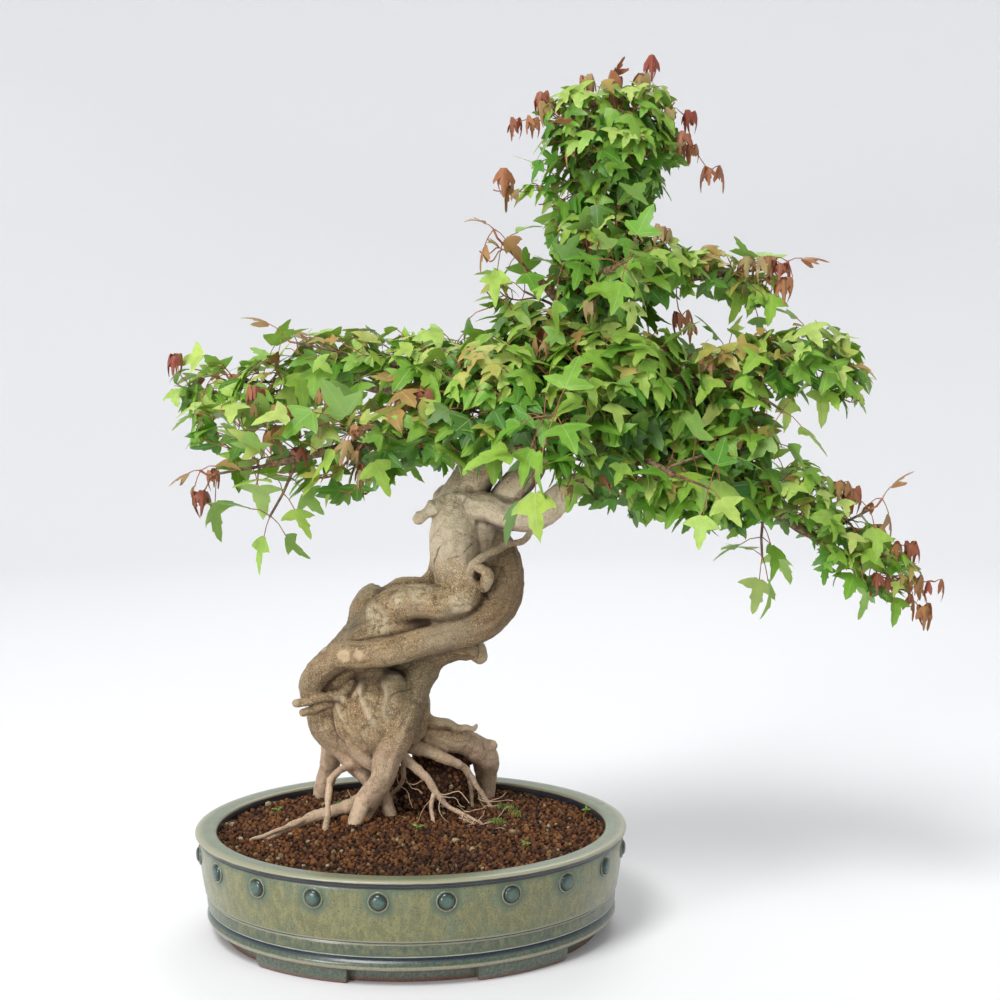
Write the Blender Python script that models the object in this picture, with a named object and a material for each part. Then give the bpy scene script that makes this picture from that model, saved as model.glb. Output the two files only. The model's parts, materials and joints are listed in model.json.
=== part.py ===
# Trident maple bonsai in an oval pot with rivets, modelled in metres with +Z up.
# The front is toward -Y. The origin is on the ground, under the middle of the whole bonsai.
import math
import random

import bmesh
import bpy
from mathutils import Matrix, Vector
from mathutils.bvhtree import BVHTree

# Driving sizes
POT_LENGTH = 0.350
POT_WIDTH = 0.300
POT_HEIGHT = 0.084
FOOT_HEIGHT = 0.012
WALL_INSET = 0.0175
FLOOR_TOP = 0.022
SOIL_TOP = 0.0765
MIDDLE_X = 0.114
MIDDLE_Y = 0.010
TREE_TURN = math.radians(-3.0)
CLEARANCE = 0.0003

# Pot details
POT_SEGMENTS = 44
RIVET_COUNT = 20
RIVET_RADIUS = 0.0062
RIVET_HEIGHT = 0.0034
RIVET_SINK = 0.0030
RIVET_SEAT = 0.0036
RIVET_Z = 0.0675
RIVET_START = 0.5
RIVET_SIDES = 6
FOOT_SPAN = math.radians(30.0)
FOOT_TAPER = 0.976
FOOT_DRAW_IN = 0.0020
FOOT_SINK = 0.0040
FOOT_STEPS = 5
FOOT_ANGLES = (math.radians(237.5), math.radians(302.5), math.radians(57.5), math.radians(122.5))
FOOT_THICKNESS = 0.020
FOOT_INSET = 0.0125
DRAIN_RADIUS = 0.011
DRAIN_X = 0.078
DRAIN_SIDES = 16
MESH_SIDE = 0.036
MESH_THICKNESS = 0.0012
MESH_OPENINGS = 2
MESH_OPEN_SHARE = 0.62
MESH_ROOM = 0.0005

# Soil
SOIL_RINGS = (0.006, 0.026, 0.046, 0.066, 0.086, 0.106)
SOIL_MOUND = 0.0020
SOIL_UNEVEN = 0.0012

# Wood
VOXEL = 0.0034
WOOD_KEEP = 0.045
STRAND_SIDES = 10
BRANCH_SIDES = 6
ROOT_SIDES = 5
SHARP_EDGE = math.radians(40.0)

# Leaves
LEAF_THICKNESS = 0.0007
LEAF_SIZES = (0.82, 1.15)
LEAF_WIDTHS = (0.92, 1.08)
LEAF_ROOM = 0.0004
LEAF_DROOP = (0.05, 1.00)
LEAF_LEAN = 0.3
FACE_UP = 0.8
FACE_OUT = 0.35
FACE_JITTER = 0.45
PETIOLE_WIDTH = 0.0012
PETIOLE_SHARES = (0.40, 0.70)
STALK_FREE = 0.004
STEM_THICK = 0.0016
STEM_THIN = 0.0012
STEM_FOOT = 0.004
SEAT_REACH = 0.003
SEAT_STEP = 0.0001
SEAT_SIDES = 8
STEM_ROOM = 0.0009
WOOD_ROOM = 0.0015
HALF_NODE = 0.001
FIRST_SHOOT = 0.30
LAST_SHOOT = 0.90
SHOOT_SIZES = (0.85, 1.10)
TIP_LENGTH = 0.013
TIP_LEAF = 0.021
TIP_DROOP = (0.7, 1.6)
TRIES = 14
END = 4
GOLDEN_ANGLE = 2.4
CROWN_MIDDLE = Vector((0.125, 0.020, 0.420))

UP = Vector((0.0, 0.0, 1.0))

# Each strand is a route of (right of the pot's middle, behind it, above the ground, half thickness).
STRANDS = {
    "core": (
        (0.032, 0.058, 0.340, 0.018), (0.035, 0.058, 0.309, 0.021), (0.031, 0.062, 0.274, 0.023),
        (0.017, 0.070, 0.252, 0.025), (0.002, 0.070, 0.228, 0.026), (-0.009, 0.066, 0.205, 0.025),
        (-0.015, 0.060, 0.182, 0.027), (-0.025, 0.056, 0.162, 0.034), (-0.042, 0.056, 0.142, 0.032),
        (-0.045, 0.056, 0.128, 0.022)),
    "ribbon_strand": (
        (0.045, 0.062, 0.323, 0.015), (0.065, 0.048, 0.306, 0.017), (0.073, 0.036, 0.285, 0.019),
        (0.070, 0.030, 0.262, 0.018), (0.057, 0.022, 0.246, 0.016), (0.035, 0.014, 0.238, 0.013),
        (0.011, 0.008, 0.232, 0.012), (-0.014, 0.006, 0.225, 0.012), (-0.038, 0.006, 0.222, 0.012),
        (-0.058, 0.010, 0.219, 0.012), (-0.073, 0.020, 0.208, 0.012), (-0.083, 0.032, 0.193, 0.012),
        (-0.085, 0.040, 0.180, 0.010)),
    "elbow_strand": (
        (0.041, 0.032, 0.341, 0.016), (0.034, 0.030, 0.320, 0.020), (0.035, 0.026, 0.300, 0.020),
        (0.038, 0.022, 0.282, 0.020), (0.039, 0.016, 0.268, 0.017), (0.024, 0.014, 0.262, 0.015),
        (0.003, 0.020, 0.262, 0.016), (-0.014, 0.032, 0.254, 0.019), (-0.032, 0.046, 0.237, 0.019),
        (-0.053, 0.056, 0.219, 0.016), (-0.067, 0.060, 0.199, 0.017), (-0.070, 0.058, 0.172, 0.020)),
    "hollow_back": (
        (-0.034, 0.064, 0.218, 0.022), (-0.042, 0.066, 0.196, 0.022), (-0.044, 0.060, 0.172, 0.022)),
    "shoulder": (
        (0.011, 0.062, 0.264, 0.013), (-0.008, 0.060, 0.264, 0.013), (-0.025, 0.058, 0.255, 0.013)),
    "knob": (
        (-0.012, 0.052, 0.202, 0.016), (0.008, 0.050, 0.214, 0.016), (0.032, 0.048, 0.220, 0.013),
        (0.045, 0.046, 0.219, 0.010), (0.053, 0.044, 0.218, 0.0075)),
    "belly_left": (
        (-0.069, 0.056, 0.173, 0.019), (-0.069, 0.054, 0.154, 0.022), (-0.059, 0.054, 0.137, 0.017),
        (-0.050, 0.052, 0.120, 0.011), (-0.039, 0.044, 0.110, 0.008)),
    "belly_middle": (
        (-0.035, 0.040, 0.185, 0.022), (-0.035, 0.030, 0.162, 0.025), (-0.030, 0.034, 0.142, 0.020)),
    "belly_right": (
        (-0.005, 0.044, 0.184, 0.017), (-0.004, 0.044, 0.165, 0.018), (-0.008, 0.040, 0.151, 0.017)),
    "wing": (
        (0.000, 0.050, 0.164, 0.008), (0.020, 0.050, 0.158, 0.005), (0.031, 0.048, 0.157, 0.004),
        (0.043, 0.045, 0.158, 0.003)),
    "front_root": (
        (-0.008, 0.036, 0.173, 0.017), (-0.014, 0.022, 0.153, 0.016), (-0.021, 0.016, 0.133, 0.012),
        (-0.027, 0.020, 0.112, 0.010), (-0.039, 0.032, 0.092, 0.010), (-0.043, 0.030, 0.080, 0.008),
        (-0.044, 0.028, 0.064, 0.006)),
    "rear_root": (
        (-0.068, 0.078, 0.137, 0.015), (-0.074, 0.088, 0.120, 0.010), (-0.078, 0.096, 0.101, 0.009),
        (-0.084, 0.100, 0.084, 0.008), (-0.086, 0.102, 0.064, 0.0065)),
    "arch_root": (
        (-0.002, 0.050, 0.150, 0.012), (0.019, 0.056, 0.142, 0.0085), (0.038, 0.066, 0.135, 0.0095),
        (0.053, 0.078, 0.125, 0.011), (0.059, 0.090, 0.105, 0.010), (0.060, 0.096, 0.087, 0.0085),
        (0.059, 0.097, 0.064, 0.0065)),
    "arch_knob": (
        (0.056, 0.078, 0.127, 0.007), (0.065, 0.078, 0.128, 0.0055)),
    "neck_bridge": (
        (0.041, 0.034, 0.338, 0.016), (0.059, 0.026, 0.340, 0.012), (0.078, 0.022, 0.334, 0.012),
        (0.098, 0.020, 0.333, 0.013), (0.114, 0.020, 0.342, 0.012), (0.130, 0.020, 0.358, 0.0105)),
    "neck_web": (
        (0.076, 0.034, 0.345, 0.013), (0.088, 0.032, 0.361, 0.013), (0.100, 0.030, 0.374, 0.011)),
    "leader": (
        (0.037, 0.044, 0.337, 0.020), (0.045, 0.042, 0.354, 0.018), (0.057, 0.034, 0.376, 0.016),
        (0.076, 0.026, 0.403, 0.013), (0.100, 0.024, 0.434, 0.011), (0.124, 0.024, 0.466, 0.010),
        (0.139, 0.023, 0.498, 0.0085)),
}

# Side roots, dead stubs and the small aerial root, thinner than the strands.
SIDE_ROOTS = {
    "left_surface_root": (
        (-0.038, 0.034, 0.094, 0.0070), (-0.060, 0.030, 0.086, 0.0050), (-0.078, 0.022, 0.083, 0.0048),
        (-0.092, 0.010, 0.080, 0.0040), (-0.106, -0.010, 0.078, 0.0032), (-0.118, -0.030, 0.0765, 0.0022)),
    "left_fine_root": (
        (-0.088, 0.014, 0.082, 0.0024), (-0.104, -0.012, 0.0815, 0.0017), (-0.127, -0.038, 0.0802, 0.0014)),
    "right_side_root": (
        (-0.008, 0.040, 0.138, 0.0065), (0.013, 0.042, 0.131, 0.0050), (0.026, 0.046, 0.124, 0.0042),
        (0.037, 0.052, 0.118, 0.0034), (0.044, 0.058, 0.110, 0.0028), (0.053, 0.060, 0.095, 0.0020),
        (0.066, 0.061, 0.074, 0.0016)),
    "right_side_fork": (
        (0.043, 0.057, 0.112, 0.0022), (0.046, 0.062, 0.096, 0.0018), (0.049, 0.066, 0.074, 0.0015)),
    "middle_root": (
        (-0.013, 0.028, 0.138, 0.0050), (-0.004, 0.026, 0.127, 0.0042), (0.010, 0.026, 0.114, 0.0034),
        (0.019, 0.026, 0.100, 0.0028), (0.030, 0.028, 0.088, 0.0020), (0.045, 0.024, 0.081, 0.0016),
        (0.060, 0.010, 0.076, 0.0014)),
    "middle_fork": (
        (0.018, 0.026, 0.102, 0.0022), (0.015, 0.022, 0.088, 0.0018), (0.017, 0.016, 0.074, 0.0015)),
    "back_fine_root": (
        (-0.010, 0.036, 0.142, 0.0026), (-0.010, 0.040, 0.108, 0.0018), (-0.020, 0.048, 0.092, 0.0015),
        (-0.030, 0.052, 0.074, 0.0014)),
    "hanging_root": (
        (-0.050, 0.046, 0.120, 0.0040), (-0.059, 0.034, 0.119, 0.0030), (-0.068, 0.020, 0.114, 0.0027),
        (-0.069, 0.008, 0.104, 0.0025), (-0.069, -0.002, 0.092, 0.0024), (-0.071, -0.007, 0.073, 0.0022)),
    "upper_dead_root": (
        (-0.052, 0.036, 0.186, 0.0045), (-0.074, 0.026, 0.182, 0.0037), (-0.097, 0.028, 0.176, 0.0033)),
    "lower_dead_root": (
        (-0.062, 0.040, 0.177, 0.0036), (-0.081, 0.032, 0.171, 0.0030), (-0.092, 0.032, 0.164, 0.0027)),
    "dead_knot": (
        (-0.050, 0.036, 0.199, 0.0034), (-0.046, 0.022, 0.191, 0.0036), (-0.045, 0.018, 0.183, 0.0032)),
    "neck_stub": (
        (0.031, 0.036, 0.345, 0.0066), (0.021, 0.030, 0.341, 0.0052), (0.007, 0.028, 0.331, 0.0037)),
    "aerial_root": (
        (0.101, 0.022, 0.324, 0.0036), (0.091, 0.016, 0.314, 0.0030), (0.076, 0.012, 0.310, 0.0036),
        (0.061, 0.008, 0.303, 0.0038), (0.050, 0.005, 0.296, 0.0036), (0.052, 0.005, 0.290, 0.0036),
        (0.061, 0.009, 0.286, 0.0042)),
}

# Branches. Each has its number of side shoots, the length of a shoot and of a leaf, how far the shoots
# lift and how far they spread up and down round the branch, the leaf pairs on a shoot, and which of the
# shoots end in a red tip.
BRANCHES = {
    "left_rear": {
        "route": (
            (0.068, 0.030, 0.390, 0.0080), (0.014, 0.058, 0.426, 0.0062), (-0.029, 0.078, 0.435, 0.0052),
            (-0.073, 0.092, 0.443, 0.0040), (-0.122, 0.098, 0.440, 0.0030)),
        "side_shoots": 2, "shoot": 0.042, "leaf": 0.036,
        "lift": 0.10, "rise": 0.6, "pairs": 2, "red_tips": (2,)},
    "left_front": {
        "route": (
            (0.052, 0.034, 0.374, 0.0074), (0.015, 0.010, 0.394, 0.0060), (-0.023, -0.012, 0.395, 0.0048),
            (-0.060, -0.032, 0.390, 0.0038), (-0.108, -0.050, 0.380, 0.0028)),
        "side_shoots": 3, "shoot": 0.046, "leaf": 0.037,
        "lift": 0.12, "rise": 0.5, "pairs": 3, "red_tips": (1, 3)},
    "left_middle": {
        "route": (
            (0.078, 0.028, 0.408, 0.0066), (0.031, 0.030, 0.444, 0.0052), (-0.010, 0.034, 0.456, 0.0042),
            (-0.050, 0.036, 0.464, 0.0032)),
        "side_shoots": 1, "shoot": 0.042, "leaf": 0.035,
        "lift": 0.05, "rise": 0.5, "pairs": 2, "red_tips": (1,)},
    "centre_front": {
        "route": (
            (0.084, 0.022, 0.414, 0.0064), (0.091, -0.020, 0.420, 0.0052), (0.102, -0.068, 0.418, 0.0030)),
        "side_shoots": 3, "shoot": 0.048, "leaf": 0.040,
        "lift": 0.25, "rise": 0.9, "pairs": 3},
    "centre_back": {
        "route": (
            (0.106, 0.028, 0.440, 0.0064), (0.116, 0.070, 0.452, 0.0054), (0.127, 0.118, 0.450, 0.0032)),
        "side_shoots": 2, "shoot": 0.048, "leaf": 0.036,
        "lift": 0.25, "rise": 0.9, "pairs": 2},
    "right_upper": {
        "route": (
            (0.126, 0.024, 0.470, 0.0072), (0.168, 0.010, 0.455, 0.0060), (0.214, -0.004, 0.445, 0.0052),
            (0.250, -0.010, 0.441, 0.0038), (0.282, -0.008, 0.446, 0.0028)),
        "side_shoots": 3, "shoot": 0.042, "leaf": 0.036,
        "lift": 0.10, "rise": 0.7, "pairs": 3},
    "right_low": {
        "route": (
            (0.124, 0.020, 0.352, 0.0100), (0.161, 0.014, 0.374, 0.0076), (0.200, 0.006, 0.384, 0.0066),
            (0.240, 0.000, 0.371, 0.0056), (0.280, -0.002, 0.346, 0.0046), (0.318, 0.000, 0.322, 0.0038),
            (0.350, 0.004, 0.303, 0.0028)),
        "side_shoots": 4, "shoot": 0.042, "leaf": 0.034,
        "lift": 0.25, "rise": 0.6, "pairs": 3, "red_tips": (3, 4)},
    "right_back": {
        "route": (
            (0.153, 0.020, 0.370, 0.0066), (0.189, 0.060, 0.386, 0.0056), (0.242, 0.096, 0.382, 0.0030)),
        "side_shoots": 1, "shoot": 0.048, "leaf": 0.036,
        "lift": 0.15, "rise": 0.8, "pairs": 2},
    "right_front": {
        "route": (
            (0.156, 0.010, 0.372, 0.0060), (0.175, -0.024, 0.384, 0.0048), (0.204, -0.062, 0.374, 0.0030)),
        "side_shoots": 2, "shoot": 0.046, "leaf": 0.036,
        "lift": 0.05, "rise": 0.8, "pairs": 2},
    "tier_left": {
        "route": (
            (0.136, 0.022, 0.491, 0.0048), (0.116, 0.010, 0.511, 0.0040), (0.098, -0.002, 0.527, 0.0030)),
        "side_shoots": 1, "shoot": 0.038, "leaf": 0.032,
        "lift": 0.15, "rise": 1.0, "pairs": 2, "red_tips": (1,)},
    "tier_right": {
        "route": (
            (0.139, 0.022, 0.500, 0.0052), (0.176, 0.012, 0.515, 0.0044), (0.215, 0.006, 0.524, 0.0036),
            (0.252, 0.004, 0.528, 0.0028)),
        "side_shoots": 1, "shoot": 0.040, "leaf": 0.032,
        "lift": 0.05, "rise": 0.8, "pairs": 3, "red_tips": (1,)},
    "tier_back": {
        "route": (
            (0.141, 0.024, 0.510, 0.0048), (0.150, 0.058, 0.528, 0.0040), (0.158, 0.090, 0.536, 0.0030)),
        "side_shoots": 1, "shoot": 0.038, "leaf": 0.032,
        "lift": 0.25, "rise": 1.0, "pairs": 2},
    "tier_front": {
        "route": (
            (0.142, 0.020, 0.518, 0.0046), (0.150, -0.016, 0.527, 0.0038), (0.158, -0.048, 0.530, 0.0028)),
        "side_shoots": 1, "shoot": 0.038, "leaf": 0.032,
        "lift": 0.10, "rise": 1.0, "pairs": 2},
    "upper_leader": {
        "route": (
            (0.137, 0.023, 0.490, 0.0088), (0.146, 0.022, 0.528, 0.0074), (0.149, 0.020, 0.559, 0.0062),
            (0.152, 0.015, 0.592, 0.0044), (0.155, 0.010, 0.621, 0.0030)),
        "side_shoots": 6, "shoot": 0.036, "leaf": 0.032,
        "lift": 0.15, "rise": 1.0, "pairs": 2, "red_tips": (5, 6)},
}


def clear_scene():
    for item in list(bpy.data.objects):
        bpy.data.objects.remove(item, do_unlink=True)


def material(name, colour, roughness):
    made = bpy.data.materials.new(name)
    made.use_nodes = True
    shader = made.node_tree.nodes["Principled BSDF"]
    shader.inputs["Base Color"].default_value = (*colour, 1.0)
    shader.inputs["Roughness"].default_value = roughness
    shader.inputs["Metallic"].default_value = 0.0
    return made


def new_object(name, mesh, parent=None, finish=None):
    made = bpy.data.objects.new(name, mesh)
    bpy.context.scene.collection.objects.link(made)
    made.parent = parent
    if finish is not None:
        mesh.materials.clear()
        mesh.materials.append(finish)
    return made


def mesh_from(name, bm):
    bmesh.ops.recalc_face_normals(bm, faces=bm.faces)
    mesh = bpy.data.meshes.new(name)
    bm.to_mesh(mesh)
    bm.free()
    return mesh


def evaluated_copy(item):
    graph = bpy.context.evaluated_depsgraph_get()
    return bpy.data.meshes.new_from_object(item.evaluated_get(graph), depsgraph=graph)


def shade_round(item):
    item.data.shade_smooth()
    item.data.set_sharp_from_angle(angle=SHARP_EDGE)


def join_by_union(base, extras):
    """Fuses the extra solids into the base and applies the result."""
    group = bpy.data.collections.new(base.name + "_extras")
    bpy.context.scene.collection.children.link(group)
    for item in extras:
        bpy.context.scene.collection.objects.unlink(item)
        group.objects.link(item)
    union = base.modifiers.new("union", "BOOLEAN")
    union.operation = "UNION"
    union.operand_type = "COLLECTION"
    union.collection = group
    fused = evaluated_copy(base)
    base.modifiers.clear()
    finish = base.data.materials[0]
    base.data = fused
    fused.materials.clear()
    fused.materials.append(finish)
    for item in extras:
        bpy.data.objects.remove(item, do_unlink=True)
    bpy.data.collections.remove(group)


def subtract(base, cutter):
    cutter.hide_render = True
    cutter.display_type = "WIRE"
    cut = base.modifiers.new("cut", "BOOLEAN")
    cut.operation = "DIFFERENCE"
    cut.object = cutter


# Routes and tubes
def smooth_route(points, steps):
    """Reads a rounded route through the given points, with steps spans between each two of them."""
    rows = [Vector((*p[:3], p[3])) for p in points]
    ends = [rows[0] * 2 - rows[1]] + rows + [rows[-1] * 2 - rows[-2]]
    route = []
    for i in range(1, len(ends) - 2):
        before, here, there, after = ends[i - 1:i + 3]
        for k in range(steps):
            t = k / steps
            route.append(0.5 * (
                2 * here + (there - before) * t
                + (2 * before - 5 * here + 4 * there - after) * t ** 2
                + (3 * here - before - 3 * there + after) * t ** 3))
    route.append(rows[-1])
    return route


def add_tube(bm, route, sides, swell=0.0):
    """Adds a closed tube along the route, whose fourth value is its radius."""
    centres = [Vector(p[:3]) for p in route]
    across = None
    rings = []
    for i, centre in enumerate(centres):
        tangent = (centres[min(i + 1, len(centres) - 1)] - centres[max(i - 1, 0)]).normalized()
        if across is None:
            across = tangent.orthogonal().normalized()
        across = (across - tangent * across.dot(tangent)).normalized()
        other = tangent.cross(across)
        ring = []
        for k in range(sides):
            angle = math.tau * k / sides
            offset = across * math.cos(angle) + other * math.sin(angle)
            ring.append(bm.verts.new(centre + offset * (route[i][3] + swell)))
        rings.append(ring)
    for low, high in zip(rings, rings[1:]):
        for k in range(sides):
            after = (k + 1) % sides
            bm.faces.new((low[k], low[after], high[after], high[k]))
    bm.faces.new(list(reversed(rings[0])))
    bm.faces.new(rings[-1])


def tube_object(name, route, sides):
    bm = bmesh.new()
    add_tube(bm, route, sides)
    return new_object(name, mesh_from(name, bm))


# Pot
def oval_point(angle, inset, height):
    return Vector((
        (POT_LENGTH / 2 - inset) * math.cos(angle),
        (POT_WIDTH / 2 - inset) * math.sin(angle),
        height))


def ring_of(bm, inset, height, segments):
    return [bm.verts.new(oval_point(math.tau * k / segments, inset, height)) for k in range(segments)]


def turned_oval(bm, profile, segments):
    """Builds a closed body from (inset, height) pairs that run from its underside round to its inside."""
    rings = [ring_of(bm, inset, height, segments) for inset, height in profile]
    for low, high in zip(rings, rings[1:]):
        for k in range(segments):
            after = (k + 1) % segments
            bm.faces.new((low[k], low[after], high[after], high[k]))
    bm.faces.new(list(reversed(rings[0])))
    bm.faces.new(rings[-1])


def pot_profile():
    rim = POT_HEIGHT
    base = FOOT_HEIGHT
    return (
        (0.0110, base), (0.0085, base + 0.0035), (0.0095, base + 0.0090),
        (0.0120, base + 0.0105), (0.0100, base + 0.0125), (0.0078, base + 0.0260), (0.0092, base + 0.0275),
        (0.0062, base + 0.0300), (0.0038, rim - 0.0220), (0.0030, rim - 0.0085), (0.0000, rim - 0.0050),
        (0.0030, rim), (WALL_INSET - 0.0035, rim), (WALL_INSET, rim - 0.0025),
        (WALL_INSET, FLOOR_TOP + 0.0060), (WALL_INSET + 0.0080, FLOOR_TOP))


def rivet_places():
    """Spaces the rivets evenly along the oval's rim."""
    fine = 2000
    lengths = [0.0]
    for k in range(fine):
        here = oval_point(math.tau * k / fine, 0.0, 0.0)
        there = oval_point(math.tau * (k + 1) / fine, 0.0, 0.0)
        lengths.append(lengths[-1] + (there - here).length)
    places = []
    for n in range(RIVET_COUNT):
        wanted = lengths[-1] * ((n + RIVET_START) % RIVET_COUNT) / RIVET_COUNT
        k = next(i for i, length in enumerate(lengths) if length >= wanted)
        places.append(math.tau * k / fine)
    return places


def rivet(name, angle):
    """A low boss with a flat top and sloping sides, standing squarely on the wall."""
    profile = (
        (RIVET_RADIUS, -RIVET_SINK), (RIVET_RADIUS, RIVET_HEIGHT * 0.4), (RIVET_RADIUS * 0.5, RIVET_HEIGHT))
    bm = bmesh.new()
    rings = []
    for radius, height in profile:
        ring = []
        for k in range(RIVET_SIDES):
            turn = math.tau * (k + 0.5) / RIVET_SIDES
            ring.append(bm.verts.new((radius * math.cos(turn), radius * math.sin(turn), height)))
        rings.append(ring)
    for low, high in zip(rings, rings[1:]):
        for k in range(RIVET_SIDES):
            after = (k + 1) % RIVET_SIDES
            bm.faces.new((low[k], low[after], high[after], high[k]))
    bm.faces.new(list(reversed(rings[0])))
    bm.faces.new(rings[-1])
    made = new_object(name, mesh_from(name, bm))
    seat = oval_point(angle, RIVET_SEAT, RIVET_Z)
    outward = Vector((math.cos(angle) / POT_LENGTH, math.sin(angle) / POT_WIDTH, 0.0))
    made.matrix_world = Matrix.Translation(seat) @ outward.to_track_quat("Z", "Y").to_matrix().to_4x4()
    return made


def pot_foot(name, middle):
    """A curved block that follows the oval, with its ends cut back a little toward the ground."""
    bm = bmesh.new()
    rows = []
    for i in range(FOOT_STEPS + 1):
        row = []
        for height, draw_in, taper in ((0.0, FOOT_DRAW_IN, FOOT_TAPER), (FOOT_HEIGHT + FOOT_SINK, 0.0, 1.0)):
            angle = middle + FOOT_SPAN * (i / FOOT_STEPS - 0.5) * taper
            row.append(bm.verts.new(oval_point(angle, FOOT_INSET + draw_in, height)))
            row.append(bm.verts.new(oval_point(angle, FOOT_INSET + FOOT_THICKNESS - draw_in, height)))
        rows.append((row[0], row[1], row[3], row[2]))
    for here, there in zip(rows, rows[1:]):
        for k in range(4):
            after = (k + 1) % 4
            bm.faces.new((here[k], here[after], there[after], there[k]))
    bm.faces.new(list(reversed(rows[0])))
    bm.faces.new(rows[-1])
    return new_object(name, mesh_from(name, bm))


def drain_cutter(name, x):
    """An upright cylinder that reaches through the pot's floor."""
    route = [(x, 0.0, 0.0, DRAIN_RADIUS), (x, 0.0, 1.5 * FLOOR_TOP, DRAIN_RADIUS)]
    return tube_object(name, route, DRAIN_SIDES)


def make_pot(parent):
    glaze = material("green_glaze", (0.17, 0.20, 0.13), 0.32)
    bm = bmesh.new()
    turned_oval(bm, pot_profile(), POT_SEGMENTS)
    pot = new_object("pot", mesh_from("pot", bm), parent, glaze)
    extras = [rivet(f"rivet_{n}", angle) for n, angle in enumerate(rivet_places())]
    extras += [pot_foot(f"foot_{n}", angle) for n, angle in enumerate(FOOT_ANGLES)]
    for item in extras:
        item.parent = parent
    bpy.context.view_layer.update()
    join_by_union(pot, extras)
    shade_round(pot)
    for side in (-1, 1):
        hole = drain_cutter("drain_hole", side * DRAIN_X)
        hole.parent = parent
        subtract(pot, hole)
    return pot


def make_drain_mesh(parent, name, side):
    """A square of plastic mesh: crossing bars with open squares between them."""
    plastic = material("black_mesh", (0.03, 0.03, 0.03), 0.5)
    bm = bmesh.new()
    half = MESH_SIDE / 2
    bottom = FLOOR_TOP + CLEARANCE
    bmesh.ops.create_cube(bm, size=1.0)
    bmesh.ops.scale(bm, vec=(MESH_SIDE, MESH_SIDE, MESH_THICKNESS), verts=bm.verts)
    middle = (side * DRAIN_X, 0.0, bottom + MESH_THICKNESS / 2)
    bmesh.ops.translate(bm, vec=middle, verts=bm.verts)
    sheet = new_object(name, mesh_from(name, bm), parent, plastic)
    pitch = MESH_SIDE / MESH_OPENINGS
    opening = pitch * MESH_OPEN_SHARE
    bm = bmesh.new()
    for i in range(MESH_OPENINGS):
        for j in range(MESH_OPENINGS):
            made = bmesh.ops.create_cube(bm, size=opening)
            shift = (middle[0] - half + pitch * (i + 0.5), -half + pitch * (j + 0.5), middle[2])
            bmesh.ops.translate(bm, vec=shift, verts=made["verts"])
    cutter = new_object(name + "_openings", mesh_from(name, bm), parent)
    subtract(sheet, cutter)
    return sheet


# Soil
def soil_height(x, y, rng):
    """The soil's top: a low mound with grains that stand up and sink unevenly."""
    away = (x / (POT_LENGTH / 2)) ** 2 + (y / (POT_WIDTH / 2)) ** 2
    return SOIL_TOP + SOIL_MOUND * (1.0 - away) + rng.uniform(-SOIL_UNEVEN, SOIL_UNEVEN)


def make_soil(parent, roots):
    brown = material("red_brown_soil", (0.12, 0.05, 0.028), 0.95)
    rng = random.Random(11)
    bm = bmesh.new()
    edge = WALL_INSET + CLEARANCE
    levels = ((edge + 0.0090, FLOOR_TOP + CLEARANCE), (edge + 0.0005, FLOOR_TOP + 0.0072),
              (edge, FLOOR_TOP + 0.0120), (edge, SOIL_TOP - 0.0040))
    rings = [ring_of(bm, inset, height, POT_SEGMENTS) for inset, height in levels]
    bm.faces.new(list(reversed(rings[0])))
    for inset in SOIL_RINGS:
        ring = ring_of(bm, edge + inset, SOIL_TOP, POT_SEGMENTS)
        for vert in ring:
            vert.co.z = soil_height(vert.co.x, vert.co.y, rng)
        rings.append(ring)
    for low, high in zip(rings, rings[1:]):
        for k in range(POT_SEGMENTS):
            after = (k + 1) % POT_SEGMENTS
            bm.faces.new((low[k], low[after], high[after], high[k]))
    bm.faces.new(rings[-1])
    soil = new_object("soil", mesh_from("soil", bm), parent, brown)
    for side in (-1, 1):
        bm = bmesh.new()
        bmesh.ops.create_cube(bm, size=1.0)
        room = MESH_SIDE + 2 * MESH_ROOM
        bmesh.ops.scale(bm, vec=(room, room, 2 * (MESH_THICKNESS + 3 * CLEARANCE)), verts=bm.verts)
        bmesh.ops.translate(bm, vec=(side * DRAIN_X, 0.0, FLOOR_TOP), verts=bm.verts)
        pocket = new_object("mesh_pocket", mesh_from("mesh_pocket", bm), parent)
        subtract(soil, pocket)
    subtract(soil, roots)
    return soil


# Trunk
def make_trunk(parent):
    bark = material("tan_bark", (0.36, 0.27, 0.18), 0.8)
    bm = bmesh.new()
    for points in STRANDS.values():
        add_tube(bm, smooth_route(points, 4), STRAND_SIDES)
    trunk = new_object("trunk", mesh_from("trunk", bm), parent, bark)
    blend = trunk.modifiers.new("blend", "REMESH")
    blend.mode = "VOXEL"
    blend.voxel_size = VOXEL
    soften = trunk.modifiers.new("soften", "SMOOTH")
    soften.iterations = 3
    thin_out = trunk.modifiers.new("thin_out", "DECIMATE")
    thin_out.ratio = WOOD_KEEP
    blended = evaluated_copy(trunk)
    trunk.modifiers.clear()
    trunk.data = blended
    extras = []
    for name, points in SIDE_ROOTS.items():
        extras.append(tube_object(name, smooth_route(points, 1), ROOT_SIDES))
    for name, branch in BRANCHES.items():
        extras.append(tube_object(name, smooth_route(branch["route"], 1), BRANCH_SIDES))
    for item in extras:
        item.parent = parent
    bpy.context.view_layer.update()
    join_by_union(trunk, extras)
    shade_round(trunk)
    return trunk


def root_room(trunk, parent):
    """The trunk's shape grown by a hair, which makes the roots' room in the soil."""
    room = new_object("root_room", trunk.data.copy(), parent)
    grow = room.modifiers.new("grow", "DISPLACE")
    grow.strength = 2 * CLEARANCE
    grow.mid_level = 0.0
    return room


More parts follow.
